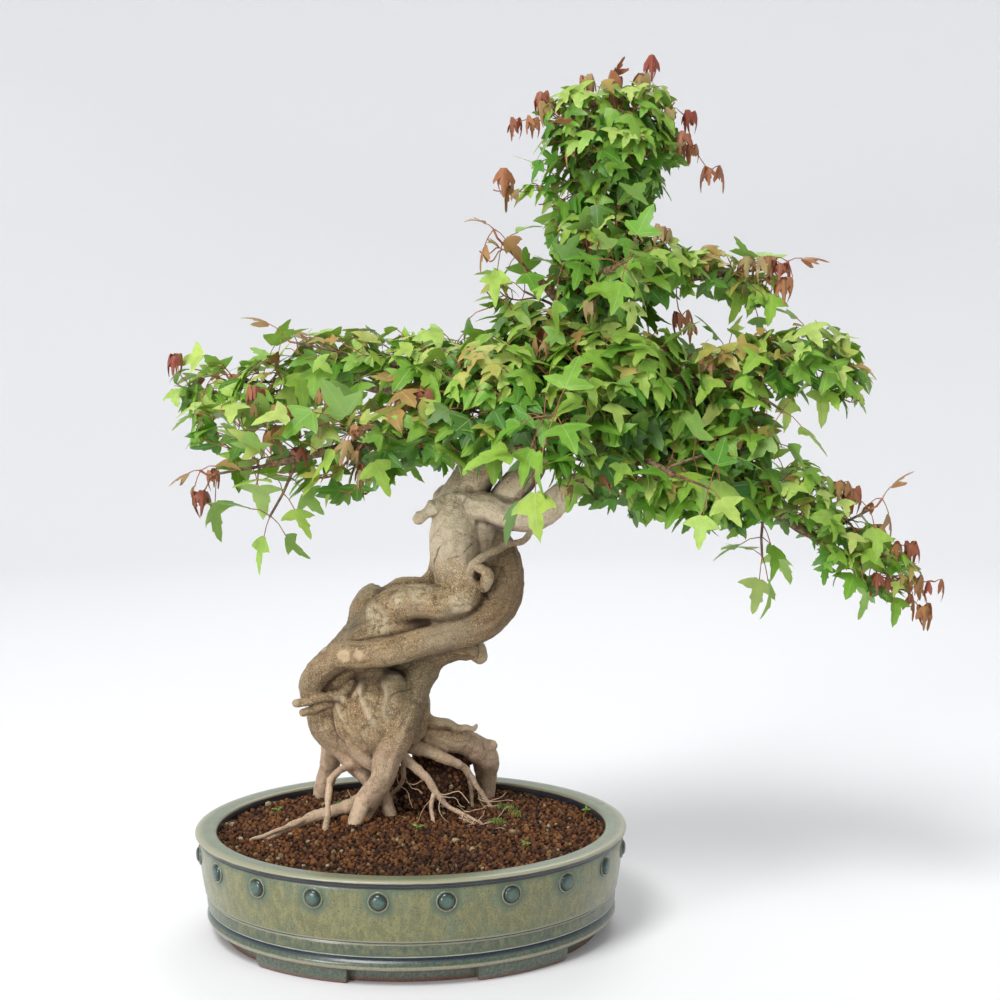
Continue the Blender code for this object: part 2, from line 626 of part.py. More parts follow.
# Foliage
def stem_rings(foot, outward, heading, length, spin, pairs):
    """Centres of a stem's rings: it leaves the branch squarely, then bends to its heading."""
    bend = foot + outward * STEM_FOOT
    step = (length - STEM_FOOT) / 2
    first = (outward * 0.35 + heading).normalized()
    second = (first * 0.35 + heading - UP * 0.06).normalized()
    middle = bend + first * step
    end = middle + second * step
    centres = [foot, bend]
    if pairs == 3:
        near = bend.lerp(middle, 0.35)
        centres += [near - first * HALF_NODE, near + first * HALF_NODE]
    centres += [middle - first * HALF_NODE, middle + second * HALF_NODE, end - second * 2 * HALF_NODE, end]
    return ring_frames(centres, heading, spin)


def ring_frames(centres, heading, spin):
    """Adds to each centre its tangent and two cross directions, which turn as little as they can."""
    side = heading.cross(UP).normalized()
    lift = side.cross(heading).normalized()
    guide = side * math.cos(spin) + lift * math.sin(spin)
    frames = []
    for i, centre in enumerate(centres):
        tangent = (centres[min(i + 1, len(centres) - 1)] - centres[max(i - 1, 0)]).normalized()
        across = (guide - tangent * guide.dot(tangent)).normalized()
        frames.append((centre, tangent, across, tangent.cross(across)))
    return frames


def stem_radius(i, count):
    return STEM_THICK + (STEM_THIN - STEM_THICK) * i / (count - 1)


def leaf_sites(frames):
    """Where leaves can grow: (ring, side, place, direction), a pair at each node and one at the end."""
    last = len(frames) - 1
    sites = []
    for low, sides in ((last - 5, (0, 2)), (last - 3, (3, 1)), (last - 1, (0, 2))):
        if low < 2 and low != last - 1:
            continue
        here, there = frames[low], frames[low + 1]
        middle = (here[0] + there[0]) / 2
        reach = (stem_radius(low, last + 1) + stem_radius(low + 1, last + 1)) / 2 * math.sqrt(0.5)
        pulls = (here[3], -here[2], -here[3], here[2])
        for side in sides:
            sites.append((low, side, middle + pulls[side] * reach, pulls[side]))
    sites.append((last, END, frames[last][0], frames[last][1]))
    return sites


def blade_corners(leaf):
    """The blade's outline after its stalk, right side first: (across, along) from the blade's base."""
    length = leaf["length"]
    width = length * leaf["width"]
    lobe = (width * 0.53, length * 0.46)
    notch = (width * 0.20, length * 0.51)
    stalk = (PETIOLE_WIDTH / 2, 0.0)
    right = [stalk, lobe, notch]
    return right + [(0.0, length)] + [(-x, y) for x, y in reversed(right)]


def blade_points(leaf, grow=0.0):
    """The blade's upper and lower corners as two rows of points."""
    across = leaf["along"].cross(leaf["normal"])
    base = leaf["root"] + leaf["along"] * leaf["petiole"]
    half = leaf["normal"] * (LEAF_THICKNESS / 2 + grow)
    flat = [base + across * x + leaf["along"] * y for x, y in blade_corners(leaf)]
    return [p + half for p in flat], [p - half for p in flat]


def blade_tree(leaf):
    """The room that a leaf needs, for testing: its blade and the outer part of its stalk."""
    upper, lower = blade_points(leaf, LEAF_ROOM)
    back = leaf["along"] * (leaf["petiole"] - STALK_FREE)
    stalk_end = [upper[0] - back, upper[-1] - back, lower[-1] - back, lower[0] - back]
    verts = upper + lower + stalk_end
    count = len(upper)
    first = 2 * count
    faces = [list(range(count)), list(range(2 * count - 1, count - 1, -1))]
    for k in range(count - 1):
        faces.append([k, k + count, k + 1 + count, k + 1])
    ring = (0, count - 1, 2 * count - 1, count)
    for k in range(4):
        after = (k + 1) % 4
        faces.append([ring[k], ring[after], first + after, first + k])
    return BVHTree.FromPolygons(verts, faces)


def grow_leaf(bm, base, leaf):
    """Draws a stalk out of four verts on the stem and opens it into the blade."""
    upper_points, lower_points = blade_points(leaf)
    upper = [bm.verts.new(p) for p in upper_points]
    lower = [bm.verts.new(p) for p in lower_points]
    ring = [lower[0], lower[-1], upper[-1], upper[0]]
    turned = [ring[shift:] + ring[:shift] for shift in range(4)]
    ring = min(turned, key=lambda tried: sum((a.co - b.co).length for a, b in zip(base, tried)))
    for k in range(4):
        after = (k + 1) % 4
        bm.faces.new((base[k], base[after], ring[after], ring[k]))
    bm.faces.new(upper)
    bm.faces.new(list(reversed(lower)))
    for k in range(len(upper) - 1):
        bm.faces.new((upper[k], lower[k], lower[k + 1], upper[k + 1]))


def shoot_mesh(name, frames, leaves):
    """One closed body: a four-sided stem whose faces at the nodes are drawn out into leaves."""
    bm = bmesh.new()
    rings = []
    for i, (centre, _, across, other) in enumerate(frames):
        radius = stem_radius(i, len(frames))
        ring = []
        for k in range(4):
            angle = math.tau * (k + 0.5) / 4
            ring.append(bm.verts.new(centre + (across * math.cos(angle) + other * math.sin(angle)) * radius))
        rings.append(ring)
    grown = {(leaf["ring"], leaf["side"]): leaf for leaf in leaves}
    for i in range(len(rings) - 1):
        for k in range(4):
            after = (k + 1) % 4
            base = [rings[i][k], rings[i][after], rings[i + 1][after], rings[i + 1][k]]
            if (i, k) in grown:
                grow_leaf(bm, base, grown[(i, k)])
            else:
                bm.faces.new(base)
    bm.faces.new(list(reversed(rings[0])))
    if (len(rings) - 1, END) in grown:
        grow_leaf(bm, rings[-1], grown[(len(rings) - 1, END)])
    else:
        bm.faces.new(rings[-1])
    return mesh_from(name, bm)


def tube_tree(route, sides, swell):
    bm = bmesh.new()
    add_tube(bm, route, sides, swell)
    tree = BVHTree.FromBMesh(bm)
    bm.free()
    return tree


class Canopy:
    """Keeps what the leaves and shoots must stay clear of."""

    def __init__(self):
        self.taken = []

    def add(self, centre, reach, tree, owner):
        self.taken.append((centre, reach, tree, owner))

    def add_route(self, route, sides, swell, owner):
        for first in range(0, len(route) - 1, 2):
            part = route[first:first + 3]
            middle = Vector(part[len(part) // 2][:3])
            reach = max((Vector(p[:3]) - middle).length + p[3] + swell for p in part)
            self.add(middle, reach, tube_tree(part, sides, swell), owner)

    def free(self, centre, reach, tree, owner):
        for other, other_reach, other_tree, other_owner in self.taken:
            if other_owner == owner:
                continue
            if (other - centre).length > reach + other_reach:
                continue
            if tree.overlap(other_tree):
                return False
        return True


def stem_tree(frames, swell):
    route = [(*frame[0], stem_radius(i, len(frames))) for i, frame in enumerate(frames)]
    return tube_tree(route[1:], 4, swell)


def seat_foot(frames, wood):
    """Draws a stem's foot inward until only a hair is left between it and the wood."""
    foot, tangent, across, other = frames[0]
    bend = frames[1][0]
    sunk = 0.0
    while sunk < SEAT_REACH:
        deeper = foot - tangent * (sunk + SEAT_STEP + CLEARANCE)
        if tube_tree([(*deeper, STEM_THICK), (*bend, STEM_THICK)], SEAT_SIDES, 0.0).overlap(wood):
            break
        sunk += SEAT_STEP
    frames[0] = (foot - tangent * sunk, tangent, across, other)


def plan_shoots(canopy):
    """Sets the shoots out round each branch, a golden angle apart, with one more at its end."""
    shoots = []
    for name, branch in BRANCHES.items():
        route = smooth_route(branch["route"], 1)
        count = branch["side_shoots"]
        rng = random.Random(name)
        for n in range(count + 1):
            at_end = n == count
            share = 1.0 if at_end else FIRST_SHOOT + (LAST_SHOOT - FIRST_SHOOT) * n / max(count - 1, 1)
            spot = share * (len(route) - 1)
            i = min(int(spot), len(route) - 2)
            here = route[i].lerp(route[i + 1], spot - i)
            tangent = Vector((route[i + 1] - route[i])[:3]).normalized()
            side = tangent.cross(UP).normalized()
            lift = side.cross(tangent).normalized()
            for attempt in range(TRIES):
                turn = GOLDEN_ANGLE * n + rng.uniform(-0.4, 0.4) + 0.45 * attempt
                outward = (side * math.cos(turn) + lift * math.sin(turn) * branch["rise"]).normalized()
                if at_end:
                    outward = tangent
                heading = (outward * 0.75 + tangent * 0.6 + UP * branch["lift"]).normalized()
                gap = CLEARANCE if at_end else here[3] + CLEARANCE
                foot = Vector(here[:3]) + outward * gap
                length = branch["shoot"] * rng.uniform(*SHOOT_SIZES)
                frames = stem_rings(foot, outward, heading, length, rng.uniform(0.2, 0.9), branch["pairs"])
                tree = stem_tree(frames, STEM_ROOM)
                middle = frames[2][0]
                if canopy.free(middle, length, tree, name):
                    break
            else:
                continue
            label = f"{name}_{n + 1}"
            shoots.append({"name": label, "frames": frames, "leaf": branch["leaf"],
                           "tip": n in branch.get("red_tips", ())})
            canopy.add(middle, length, tree, label)
    return shoots


def try_leaf(site, size, droop, rng):
    """One random pose of a leaf on its site: how it leans, sags and faces."""
    ring, side, root, pull = site
    lean = Vector([rng.uniform(-LEAF_LEAN, LEAF_LEAN) for _ in range(3)])
    sag = rng.uniform(*droop) * (1.0 - 0.85 * max(pull.z, 0.0))
    along = (pull + lean - UP * sag).normalized()
    away = root - CROWN_MIDDLE
    away.z *= 0.4
    jitter = Vector([rng.uniform(-FACE_JITTER, FACE_JITTER) for _ in range(3)])
    face = UP * FACE_UP + away.normalized() * FACE_OUT + jitter
    normal = (face - along * face.dot(along)).normalized()
    length = size * rng.uniform(*LEAF_SIZES)
    petiole = length * rng.uniform(*PETIOLE_SHARES)
    width = rng.uniform(*LEAF_WIDTHS)
    return {"ring": ring, "side": side, "root": root, "along": along, "normal": normal,
            "length": length, "petiole": petiole, "width": width}


def place_leaves(name, frames, size, droop, skip_end, canopy):
    rng = random.Random(name)
    leaves = []
    for site in leaf_sites(frames):
        if skip_end and site[1] == END:
            continue
        for _ in range(TRIES):
            leaf = try_leaf(site, size, droop, rng)
            tree = blade_tree(leaf)
            reach = (leaf["petiole"] + leaf["length"]) / 2
            centre = leaf["root"] + leaf["along"] * reach
            if canopy.free(centre, reach * 1.1, tree, name):
                canopy.add(centre, reach * 1.1, tree, name + "_leaf")
                leaves.append(leaf)
                break
    return leaves


def tip_frames(shoot):
    """A short stalk that goes on from a shoot's end and turns upward."""
    end, tangent, across, _ = shoot["frames"][-1]
    heading = (tangent + UP * 0.8).normalized()
    foot = end + tangent * CLEARANCE
    middle = foot + tangent * TIP_LENGTH * 0.4
    top = middle + heading * TIP_LENGTH * 0.6
    return ring_frames([foot, middle, top - heading * 2 * HALF_NODE, top], heading, 0.4)


def make_foliage(parent, trunk):
    green = material("leaf_green", (0.10, 0.26, 0.045), 0.5)
    bronze = material("leaf_bronze", (0.30, 0.07, 0.03), 0.5)
    canopy = Canopy()
    for points in STRANDS.values():
        canopy.add_route(smooth_route(points, 2), STRAND_SIDES, WOOD_ROOM, "wood")
    for name, branch in BRANCHES.items():
        canopy.add_route(smooth_route(branch["route"], 1), BRANCH_SIDES, STEM_ROOM, name)
    shoots = plan_shoots(canopy)
    bm = bmesh.new()
    bm.from_mesh(trunk.data)
    wood = BVHTree.FromBMesh(bm)
    bm.free()
    count = 0
    for shoot in shoots:
        if shoot["tip"]:
            frames = tip_frames(shoot)
            name = "tip_" + shoot["name"]
            canopy.add(frames[1][0], TIP_LENGTH, stem_tree(frames, STEM_ROOM), name)
            leaves = place_leaves(name, frames, TIP_LEAF, TIP_DROOP, False, canopy)
            new_object(name, shoot_mesh(name, frames, leaves), parent, bronze)
            count += len(leaves)
    for shoot in shoots:
        name = "spray_" + shoot["name"]
        leaves = place_leaves(shoot["name"], shoot["frames"], shoot["leaf"], LEAF_DROOP, shoot["tip"], canopy)
        seat_foot(shoot["frames"], wood)
        new_object(name, shoot_mesh(name, shoot["frames"], leaves), parent, green)
        count += len(leaves)
    print("shoots", len(shoots), "leaves", count)


def main():
    clear_scene()
    bonsai = bpy.data.objects.new("bonsai", None)
    bpy.context.scene.collection.objects.link(bonsai)
    bonsai.location = (-MIDDLE_X, -MIDDLE_Y, 0.0)
    tree = bpy.data.objects.new("tree", None)
    bpy.context.scene.collection.objects.link(tree)
    tree.parent = bonsai
    tree.rotation_euler = (0.0, 0.0, TREE_TURN)
    bpy.context.view_layer.update()
    make_pot(bonsai)
    make_drain_mesh(bonsai, "drain_mesh_left", -1)
    make_drain_mesh(bonsai, "drain_mesh_right", 1)
    trunk = make_trunk(tree)
    make_soil(bonsai, root_room(trunk, tree))
    make_foliage(tree, trunk)


main()
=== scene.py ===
# Trident maple bonsai in an oval pot with rivets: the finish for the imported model.
# Metres, front toward -Y, and millimetres where metres() reads them. The tree is drawn from the
# pot's middle, and treeFrame puts it in place.
import json
import math
import random

import bmesh
import bpy
import numpy as np
from mathutils import Matrix, Vector, noise
from mathutils.bvhtree import BVHTree
from mathutils.kdtree import KDTree

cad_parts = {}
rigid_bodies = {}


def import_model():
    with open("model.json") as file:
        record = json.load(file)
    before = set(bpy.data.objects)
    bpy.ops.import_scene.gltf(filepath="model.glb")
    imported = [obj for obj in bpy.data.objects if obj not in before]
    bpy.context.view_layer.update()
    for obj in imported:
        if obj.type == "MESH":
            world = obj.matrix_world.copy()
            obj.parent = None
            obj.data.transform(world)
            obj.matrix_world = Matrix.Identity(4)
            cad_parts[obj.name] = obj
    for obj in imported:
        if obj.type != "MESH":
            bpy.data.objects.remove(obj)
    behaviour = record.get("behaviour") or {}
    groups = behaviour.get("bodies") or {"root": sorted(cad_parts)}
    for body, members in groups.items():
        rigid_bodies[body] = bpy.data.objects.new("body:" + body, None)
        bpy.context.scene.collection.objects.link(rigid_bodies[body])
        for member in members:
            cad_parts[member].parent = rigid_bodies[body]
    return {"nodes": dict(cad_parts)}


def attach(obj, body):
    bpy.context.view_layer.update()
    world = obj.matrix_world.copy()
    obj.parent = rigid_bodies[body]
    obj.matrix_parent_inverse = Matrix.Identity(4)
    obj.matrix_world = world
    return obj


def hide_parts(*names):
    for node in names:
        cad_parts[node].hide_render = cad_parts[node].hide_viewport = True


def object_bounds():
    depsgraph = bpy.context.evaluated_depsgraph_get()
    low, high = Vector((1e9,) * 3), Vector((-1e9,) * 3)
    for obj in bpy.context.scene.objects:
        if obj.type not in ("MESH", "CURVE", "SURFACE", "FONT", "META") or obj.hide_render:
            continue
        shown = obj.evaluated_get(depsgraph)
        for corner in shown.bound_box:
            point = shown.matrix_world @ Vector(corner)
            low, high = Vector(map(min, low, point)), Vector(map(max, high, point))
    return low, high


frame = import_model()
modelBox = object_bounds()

placing = {"potX": -0.114, "potY": -0.010, "treeTurn": -3.0}
potFrame = Matrix.Translation((placing["potX"], placing["potY"], 0.0))
treeFrame = potFrame @ Matrix.Rotation(math.radians(placing["treeTurn"]), 4, "Z")
photoView = {"place": (0.0718, -1.316, 0.4795), "down": 5.7, "lens": 59.4}
up = Vector((0.0, 0.0, 1.0))
stage = bpy.context.scene
noise.seed_set(4)  # without it noise_vector differs from run to run


def metres(sizes):  # millimetres, alone or in rows and tables, as metres
    if isinstance(sizes, dict):
        return {name: metres(rows) for name, rows in sizes.items()}
    if isinstance(sizes, (tuple, list)):
        return tuple(metres(size) for size in sizes)
    return sizes / 1000


# Small helpers for node trees
def maths(operation):  # a math node on a reading and at most one other value
    def made(self, *others):
        return self.graph.add("ShaderNodeMath", {"operation": operation}, dict(enumerate((self, *others))))
    return made


class Reading:
    def __init__(self, graph, node, out):
        self.graph, self.node = graph, node
        self.socket = node.outputs[out] if node.outputs else None

    __add__, __sub__, __mul__ = maths("ADD"), maths("SUBTRACT"), maths("MULTIPLY")
    __truediv__, __pow__, __abs__ = maths("DIVIDE"), maths("POWER"), maths("ABSOLUTE")
    most, fraction = maths("MAXIMUM"), maths("FRACT")
    __radd__, __rmul__ = __add__, __mul__

    def __rsub__(self, other):
        return self.graph.add("ShaderNodeMath", {"operation": "SUBTRACT"}, {0: other, 1: self})

    def other(self, out):
        return Reading(self.graph, self.node, out)

    def between(self, low, high):  # 0 up to low, 1 from high on, and smooth from one to the other
        return self.graph.add("ShaderNodeMapRange", {"interpolation_type": "SMOOTHSTEP"},
                              {"Value": self, "From Min": low, "From Max": high})

    def below(self, low, high):
        return 1 - self.between(low, high)


class Graph:
    def __init__(self, tree):
        self.tree = tree
        tree.nodes.clear()

    def add(self, kind, settings=None, sockets=None, out=0):
        node = self.tree.nodes.new(kind)
        for name, value in (settings or {}).items():
            if name == "stops":
                while len(node.color_ramp.elements) < len(value):
                    node.color_ramp.elements.new(0.5)
                for stop, (place, shade) in zip(node.color_ramp.elements, value):
                    stop.position, stop.color = place, tint(shade)
            else:
                setattr(node, name, value)
        for name, value in (sockets or {}).items():
            if isinstance(value, Reading):
                self.tree.links.new(value.socket, node.inputs[name])
            else:
                node.inputs[name].default_value = value
        return Reading(self, node, out)

    def mix(self, share, first, second):  # each is a reading or a web colour
        first, second = (tint(shade) if isinstance(shade, str) else shade for shade in (first, second))
        return self.add("ShaderNodeMix", {"data_type": "RGBA"}, {0: share, 6: first, 7: second}, 2)

    def layers(self, skin, *rows):  # lays one shade after another over the skin, each by its share
        for share, shade in rows:
            skin = self.mix(share, skin, shade)
        return skin

    def ramp(self, value, *stops):
        return self.add("ShaderNodeValToRGB", {"stops": stops}, {"Fac": value})

    def place(self, shift=(0.0, 0.0, 0.0), stretch=(1.0, 1.0, 1.0)):
        here = self.add("ShaderNodeTexCoord", out="Object")
        return self.add("ShaderNodeMapping", None, {"Vector": here, "Location": shift, "Scale": stretch})

    def noise(self, scale, detail=3.0, rough=0.55, vector=None):
        return self.add("ShaderNodeTexNoise", None, {
            "Vector": vector or self.place(), "Scale": scale, "Detail": detail, "Roughness": rough}, "Fac")

    def reads(self, name):
        return self.add("ShaderNodeAttribute", {"attribute_name": name}, out="Fac")

    def parts(self, vector):
        split = self.add("ShaderNodeSeparateXYZ", None, {0: vector})
        return split, split.other("Y"), split.other("Z")

    def vector(self, x, y, z):
        return self.add("ShaderNodeCombineXYZ", None, {"X": x, "Y": y, "Z": z})

    def bump(self, height, strength, distance):
        return self.add("ShaderNodeBump", None, {
            "Height": height, "Strength": strength, "Distance": distance})

    def surface(self, **looks):  # the shader and the output, with a space for each capital in a name
        words = {"".join(" " + c if c.isupper() else c for c in key).title(): value
                 for key, value in looks.items()}
        shader = self.add("ShaderNodeBsdfPrincipled", None, words)
        self.add("ShaderNodeOutputMaterial", None, {"Surface": shader})


def newFinish(name):
    made = bpy.data.materials.new(name)
    made.use_nodes = True
    return made, Graph(made.node_tree)


def tint(code):  # a web colour as linear light
    parts = [int(code[i:i + 2], 16) / 255 for i in (0, 2, 4)]
    return (*[p / 12.92 if p <= 0.04045 else ((p + 0.055) / 1.055) ** 2.4 for p in parts], 1.0)


# Small helpers for meshes
def triangles(item):
    return sum(len(p.vertices) - 2 for p in item.data.polygons)


def newItem(name, mesh, finish=None):
    made = bpy.data.objects.new(name, mesh)
    stage.collection.objects.link(made)
    if finish is not None:
        mesh.materials.clear()
        mesh.materials.append(finish)
    return made


def meshOf(name, bm, outward=True):
    if outward:
        bmesh.ops.recalc_face_normals(bm, faces=bm.faces)
    mesh = bpy.data.meshes.new(name)
    bm.to_mesh(mesh)
    bm.free()
    return mesh


def circle(sides, radius):  # places round a circle
    turns = [math.tau * k / sides for k in range(sides)]
    return [(radius * math.cos(turn), radius * math.sin(turn)) for turn in turns]


def bridge(bm, rings, ends=True):  # faces from each ring to the next one, and over both ends
    for low, high in zip(rings, rings[1:]):
        for k in range(len(low)):
            after = (k + 1) % len(low)
            bm.faces.new((low[k], low[after], high[after], high[k]))
    if ends:
        bm.faces.new(list(reversed(rings[0])))
        bm.faces.new(rings[-1])


def finder(places):  # finds the nearest of the places
    tree = KDTree(len(places))
    for i, place in enumerate(places):
        tree.insert(place, i)
    tree.balance()
    return tree


def scatter(rng, reach):  # a random step, at most the reach along each axis
    return Vector([rng.uniform(-reach, reach) for _ in range(3)])


def evaluated(item):
    graph = bpy.context.evaluated_depsgraph_get()
    return bpy.data.meshes.new_from_object(item.evaluated_get(graph), depsgraph=graph)


def settle(item):  # applies the modifiers and keeps the result as a plain mesh
    made = evaluated(item)
    item.modifiers.clear()
    item.data = made
    return item


def shaped(item, tree, inputs):  # runs a node tree once on the item
    nodes = item.modifiers.new("shape", "NODES")
    nodes.node_group = tree
    for socket in tree.interface.items_tree:
        if socket.in_out == "INPUT" and socket.name in inputs:
            nodes[socket.identifier] = inputs[socket.name]
    return settle(item)


def store(mesh, name, values):
    layer = mesh.attributes.new(name, "FLOAT", "POINT")
    layer.data.foreach_set("value", np.asarray(values, dtype=np.float32))


def handOver(item, slot, *nodes, place=treeFrame):  # puts a finished piece in place and hands it to the frame
    item.data.transform(place)
    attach(item, "root")
    if nodes:
        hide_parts(*nodes)


def nodeTree(name, **inputs):
    tree = bpy.data.node_groups.new(name, "GeometryNodeTree")
    tree.interface.new_socket("Geometry", in_out="INPUT", socket_type="NodeSocketGeometry")
    for title, (kind, value) in inputs.items():
        socket = tree.interface.new_socket(title, in_out="INPUT", socket_type="NodeSocket" + kind)
        if value is not None:
            socket.default_value = value
    tree.interface.new_socket("Geometry", in_out="OUTPUT", socket_type="NodeSocketGeometry")
    graph = Graph(tree)
    return tree, graph, graph.add("NodeGroupInput")


def named(graph, name, kind="FLOAT"):
    return graph.add("GeometryNodeInputNamedAttribute", {"data_type": kind}, {"Name": name}, "Attribute")


def close(graph, geometry, finish, smooth=True):
    real = graph.add("GeometryNodeRealizeInstances", None, {"Geometry": geometry})
    shade = graph.add("GeometryNodeSetShadeSmooth", None, {"Geometry": real, "Shade Smooth": smooth})
    painted = graph.add("GeometryNodeSetMaterial", None, {"Geometry": shade, "Material": finish})
    graph.add("NodeGroupOutput", None, {"Geometry": painted})


def copiesTree(name, finish, smooth=True):  # one shape from the collection on each point
    tree, graph, given = nodeTree(name, Shapes=("Collection", None), Size=("Float", 1.0))
    shapes = graph.add("GeometryNodeCollectionInfo", None, {
        "Collection": given.other("Shapes"), "Separate Children": True, "Reset Children": True})
    turn = graph.add("FunctionNodeEulerToRotation", None, {"Euler": named(graph, "pose", "FLOAT_VECTOR")})
    copies = graph.add("GeometryNodeInstanceOnPoints", None, {
        "Points": given, "Instance": shapes, "Pick Instance": True,
        "Instance Index": named(graph, "shape", "INT"), "Rotation": turn,
        "Scale": named(graph, "size") * given.other("Size")})
    close(graph, copies, finish, smooth)
    return tree


def tubesTree(name, finish, sides):  # a round tube along each line, as thick as the line says
    tree, graph, given = nodeTree(name, Sides=("Int", sides), Thickness=("Float", 1.0))
    lines = graph.add("GeometryNodeMeshToCurve", None, {"Mesh": given})
    ring = graph.add("GeometryNodeCurvePrimitiveCircle", None, {
        "Resolution": given.other("Sides"), "Radius": 1.0})
    tubes = graph.add("GeometryNodeCurveToMesh", None, {
        "Curve": lines, "Profile Curve": ring, "Scale": named(graph, "thick") * given.other("Thickness"),
        "Fill Caps": True})
    close(graph, tubes, finish)
    return tree


def pointsItem(name, rows):  # rows of place, pose, size, shape, tone and age
    mesh = bpy.data.meshes.new(name)
    mesh.from_pydata([row["place"] for row in rows], [], [])
    turns = mesh.attributes.new("pose", "FLOAT_VECTOR", "POINT")
    turns.data.foreach_set("vector", [c for row in rows for c in row["pose"]])
    which = mesh.attributes.new("shape", "INT", "POINT")
    which.data.foreach_set("value", [row["shape"] for row in rows])
    for key in ("size", "tone", "age"):
        store(mesh, key, [row.get(key, 0.0) for row in rows])
    return newItem(name, mesh)


def linesItem(name, paths):  # paths of rows (place, radius, age)
    verts, edges, thick, age, along = [], [], [], [], []
    for path in paths:
        for k, row in enumerate(path):
            along.append(along[-1] + (row[0] - path[k - 1][0]).length if k else 0.13 * len(verts))
            if k:
                edges.append((len(verts) - 1, len(verts)))
            verts.append(row[0])
            thick.append(row[1])
            age.append(row[2])
    mesh = bpy.data.meshes.new(name)
    mesh.from_pydata(verts, edges, [])
    store(mesh, "thick", thick)
    store(mesh, "age", age)
    store(mesh, "along", along)
    return newItem(name, mesh)


def tubes(name, paths, finish, sides, slot, *nodes, **stored):  # round tubes along the paths, as one piece
    item = shaped(linesItem(name, paths), tubesTree(name + "Tubes", finish, sides), {"Sides": sides})
    for title, value in stored.items():
        store(item.data, title, [value] * len(item.data.vertices))
    handOver(item, slot, *nodes)
    print(name, triangles(item), "triangles")


def shapeBox(name, meshes):  # a collection of shapes for the copies, outside the scene
    box = bpy.data.collections.new(name)
    for n, mesh in enumerate(meshes):
        box.objects.link(bpy.data.objects.new(f"{name}{n:02d}", mesh))
    return box


def emptyBox(box):
    for item in list(box.objects):
        bpy.data.objects.remove(item, do_unlink=True)
    bpy.data.collections.remove(box)


# Camera, light and floor
studio = {"radius": 3.4, "cove": 1.1, "wall": 2.6, "sides": 72, "shade": "f4f4f5", "sky": 0.46,
          "lights": (("key", (-1.1, -1.5, 2.9), 1.3, 64.0), ("low", (-1.7, -1.8, 0.62), 0.7, 24.0),
                     ("fill", (1.9, -1.2, 1.6), 1.8, 3.0),
                     ("back", (0.4, 1.9, 2.2), 1.6, 18.0))}


def makeStudio():
    lens = bpy.data.cameras.new("photoCamera")
    lens.lens = photoView["lens"]
    camera = bpy.data.objects.new("photoCamera", lens)
    stage.collection.objects.link(camera)
    camera.matrix_world = (treeFrame @ Matrix.Translation(photoView["place"])
                           @ Matrix.Rotation(math.radians(90.0 - photoView["down"]), 4, "X"))
    stage.camera = camera
    for name, spot, size, power in studio["lights"]:
        lamp = bpy.data.lights.new(name, "AREA")
        lamp.shape, lamp.size, lamp.energy = "DISK", size, power
        item = bpy.data.objects.new(name, lamp)
        stage.collection.objects.link(item)
        aim = Vector((0.0, 0.0, 0.35)) - Vector(spot)
        item.matrix_world = Matrix.Translation(spot) @ aim.to_track_quat("-Z", "Y").to_matrix().to_4x4()
    world = bpy.data.worlds.new("paleRoom")
    world.use_nodes = True
    graph = Graph(world.node_tree)
    sky = graph.add("ShaderNodeBackground", None, {
        "Color": (0.96, 0.98, 1.0, 1.0), "Strength": studio["sky"]})
    graph.add("ShaderNodeOutputWorld", None, {"Surface": sky})
    stage.world = world
    stage.view_settings.view_transform = "Standard"
    pale, graph = newFinish("palePaper")
    soft = graph.noise(0.6, 2.0)
    graph.surface(baseColor=graph.mix(soft, studio["shade"], "f0f0f2"), roughness=0.9)
    bm = bmesh.new()
    flat, cove = studio["radius"] - studio["cove"], studio["cove"]
    rows = [(0.05, 0.0), (0.6, 0.0), (flat, 0.0)]
    rows += [(flat + cove * math.sin(a), cove * (1 - math.cos(a))) for a in np.linspace(0.1, math.pi / 2, 12)]
    rows.append((studio["radius"], studio["wall"]))
    sides = studio["sides"]
    rings = [[bm.verts.new((x, y, z - 0.0002)) for x, y in circle(sides, r)] for r, z in rows]
    for low, high in zip(rings, rings[1:]):
        for k in range(sides):
            if high[k].co.z < 0.01 or math.sin(math.tau * k / sides) > -0.1:  # the front stays open
                after = (k + 1) % sides
                bm.faces.new((low[k], high[k], high[after], low[after]))
    bm.faces.new(rings[0])
    floor = newItem("paleFloor", meshOf("paleFloor", bm, False), pale)
    floor.data.flip_normals()
    floor.data.shade_smooth()
    print("studio is set")


makeStudio()

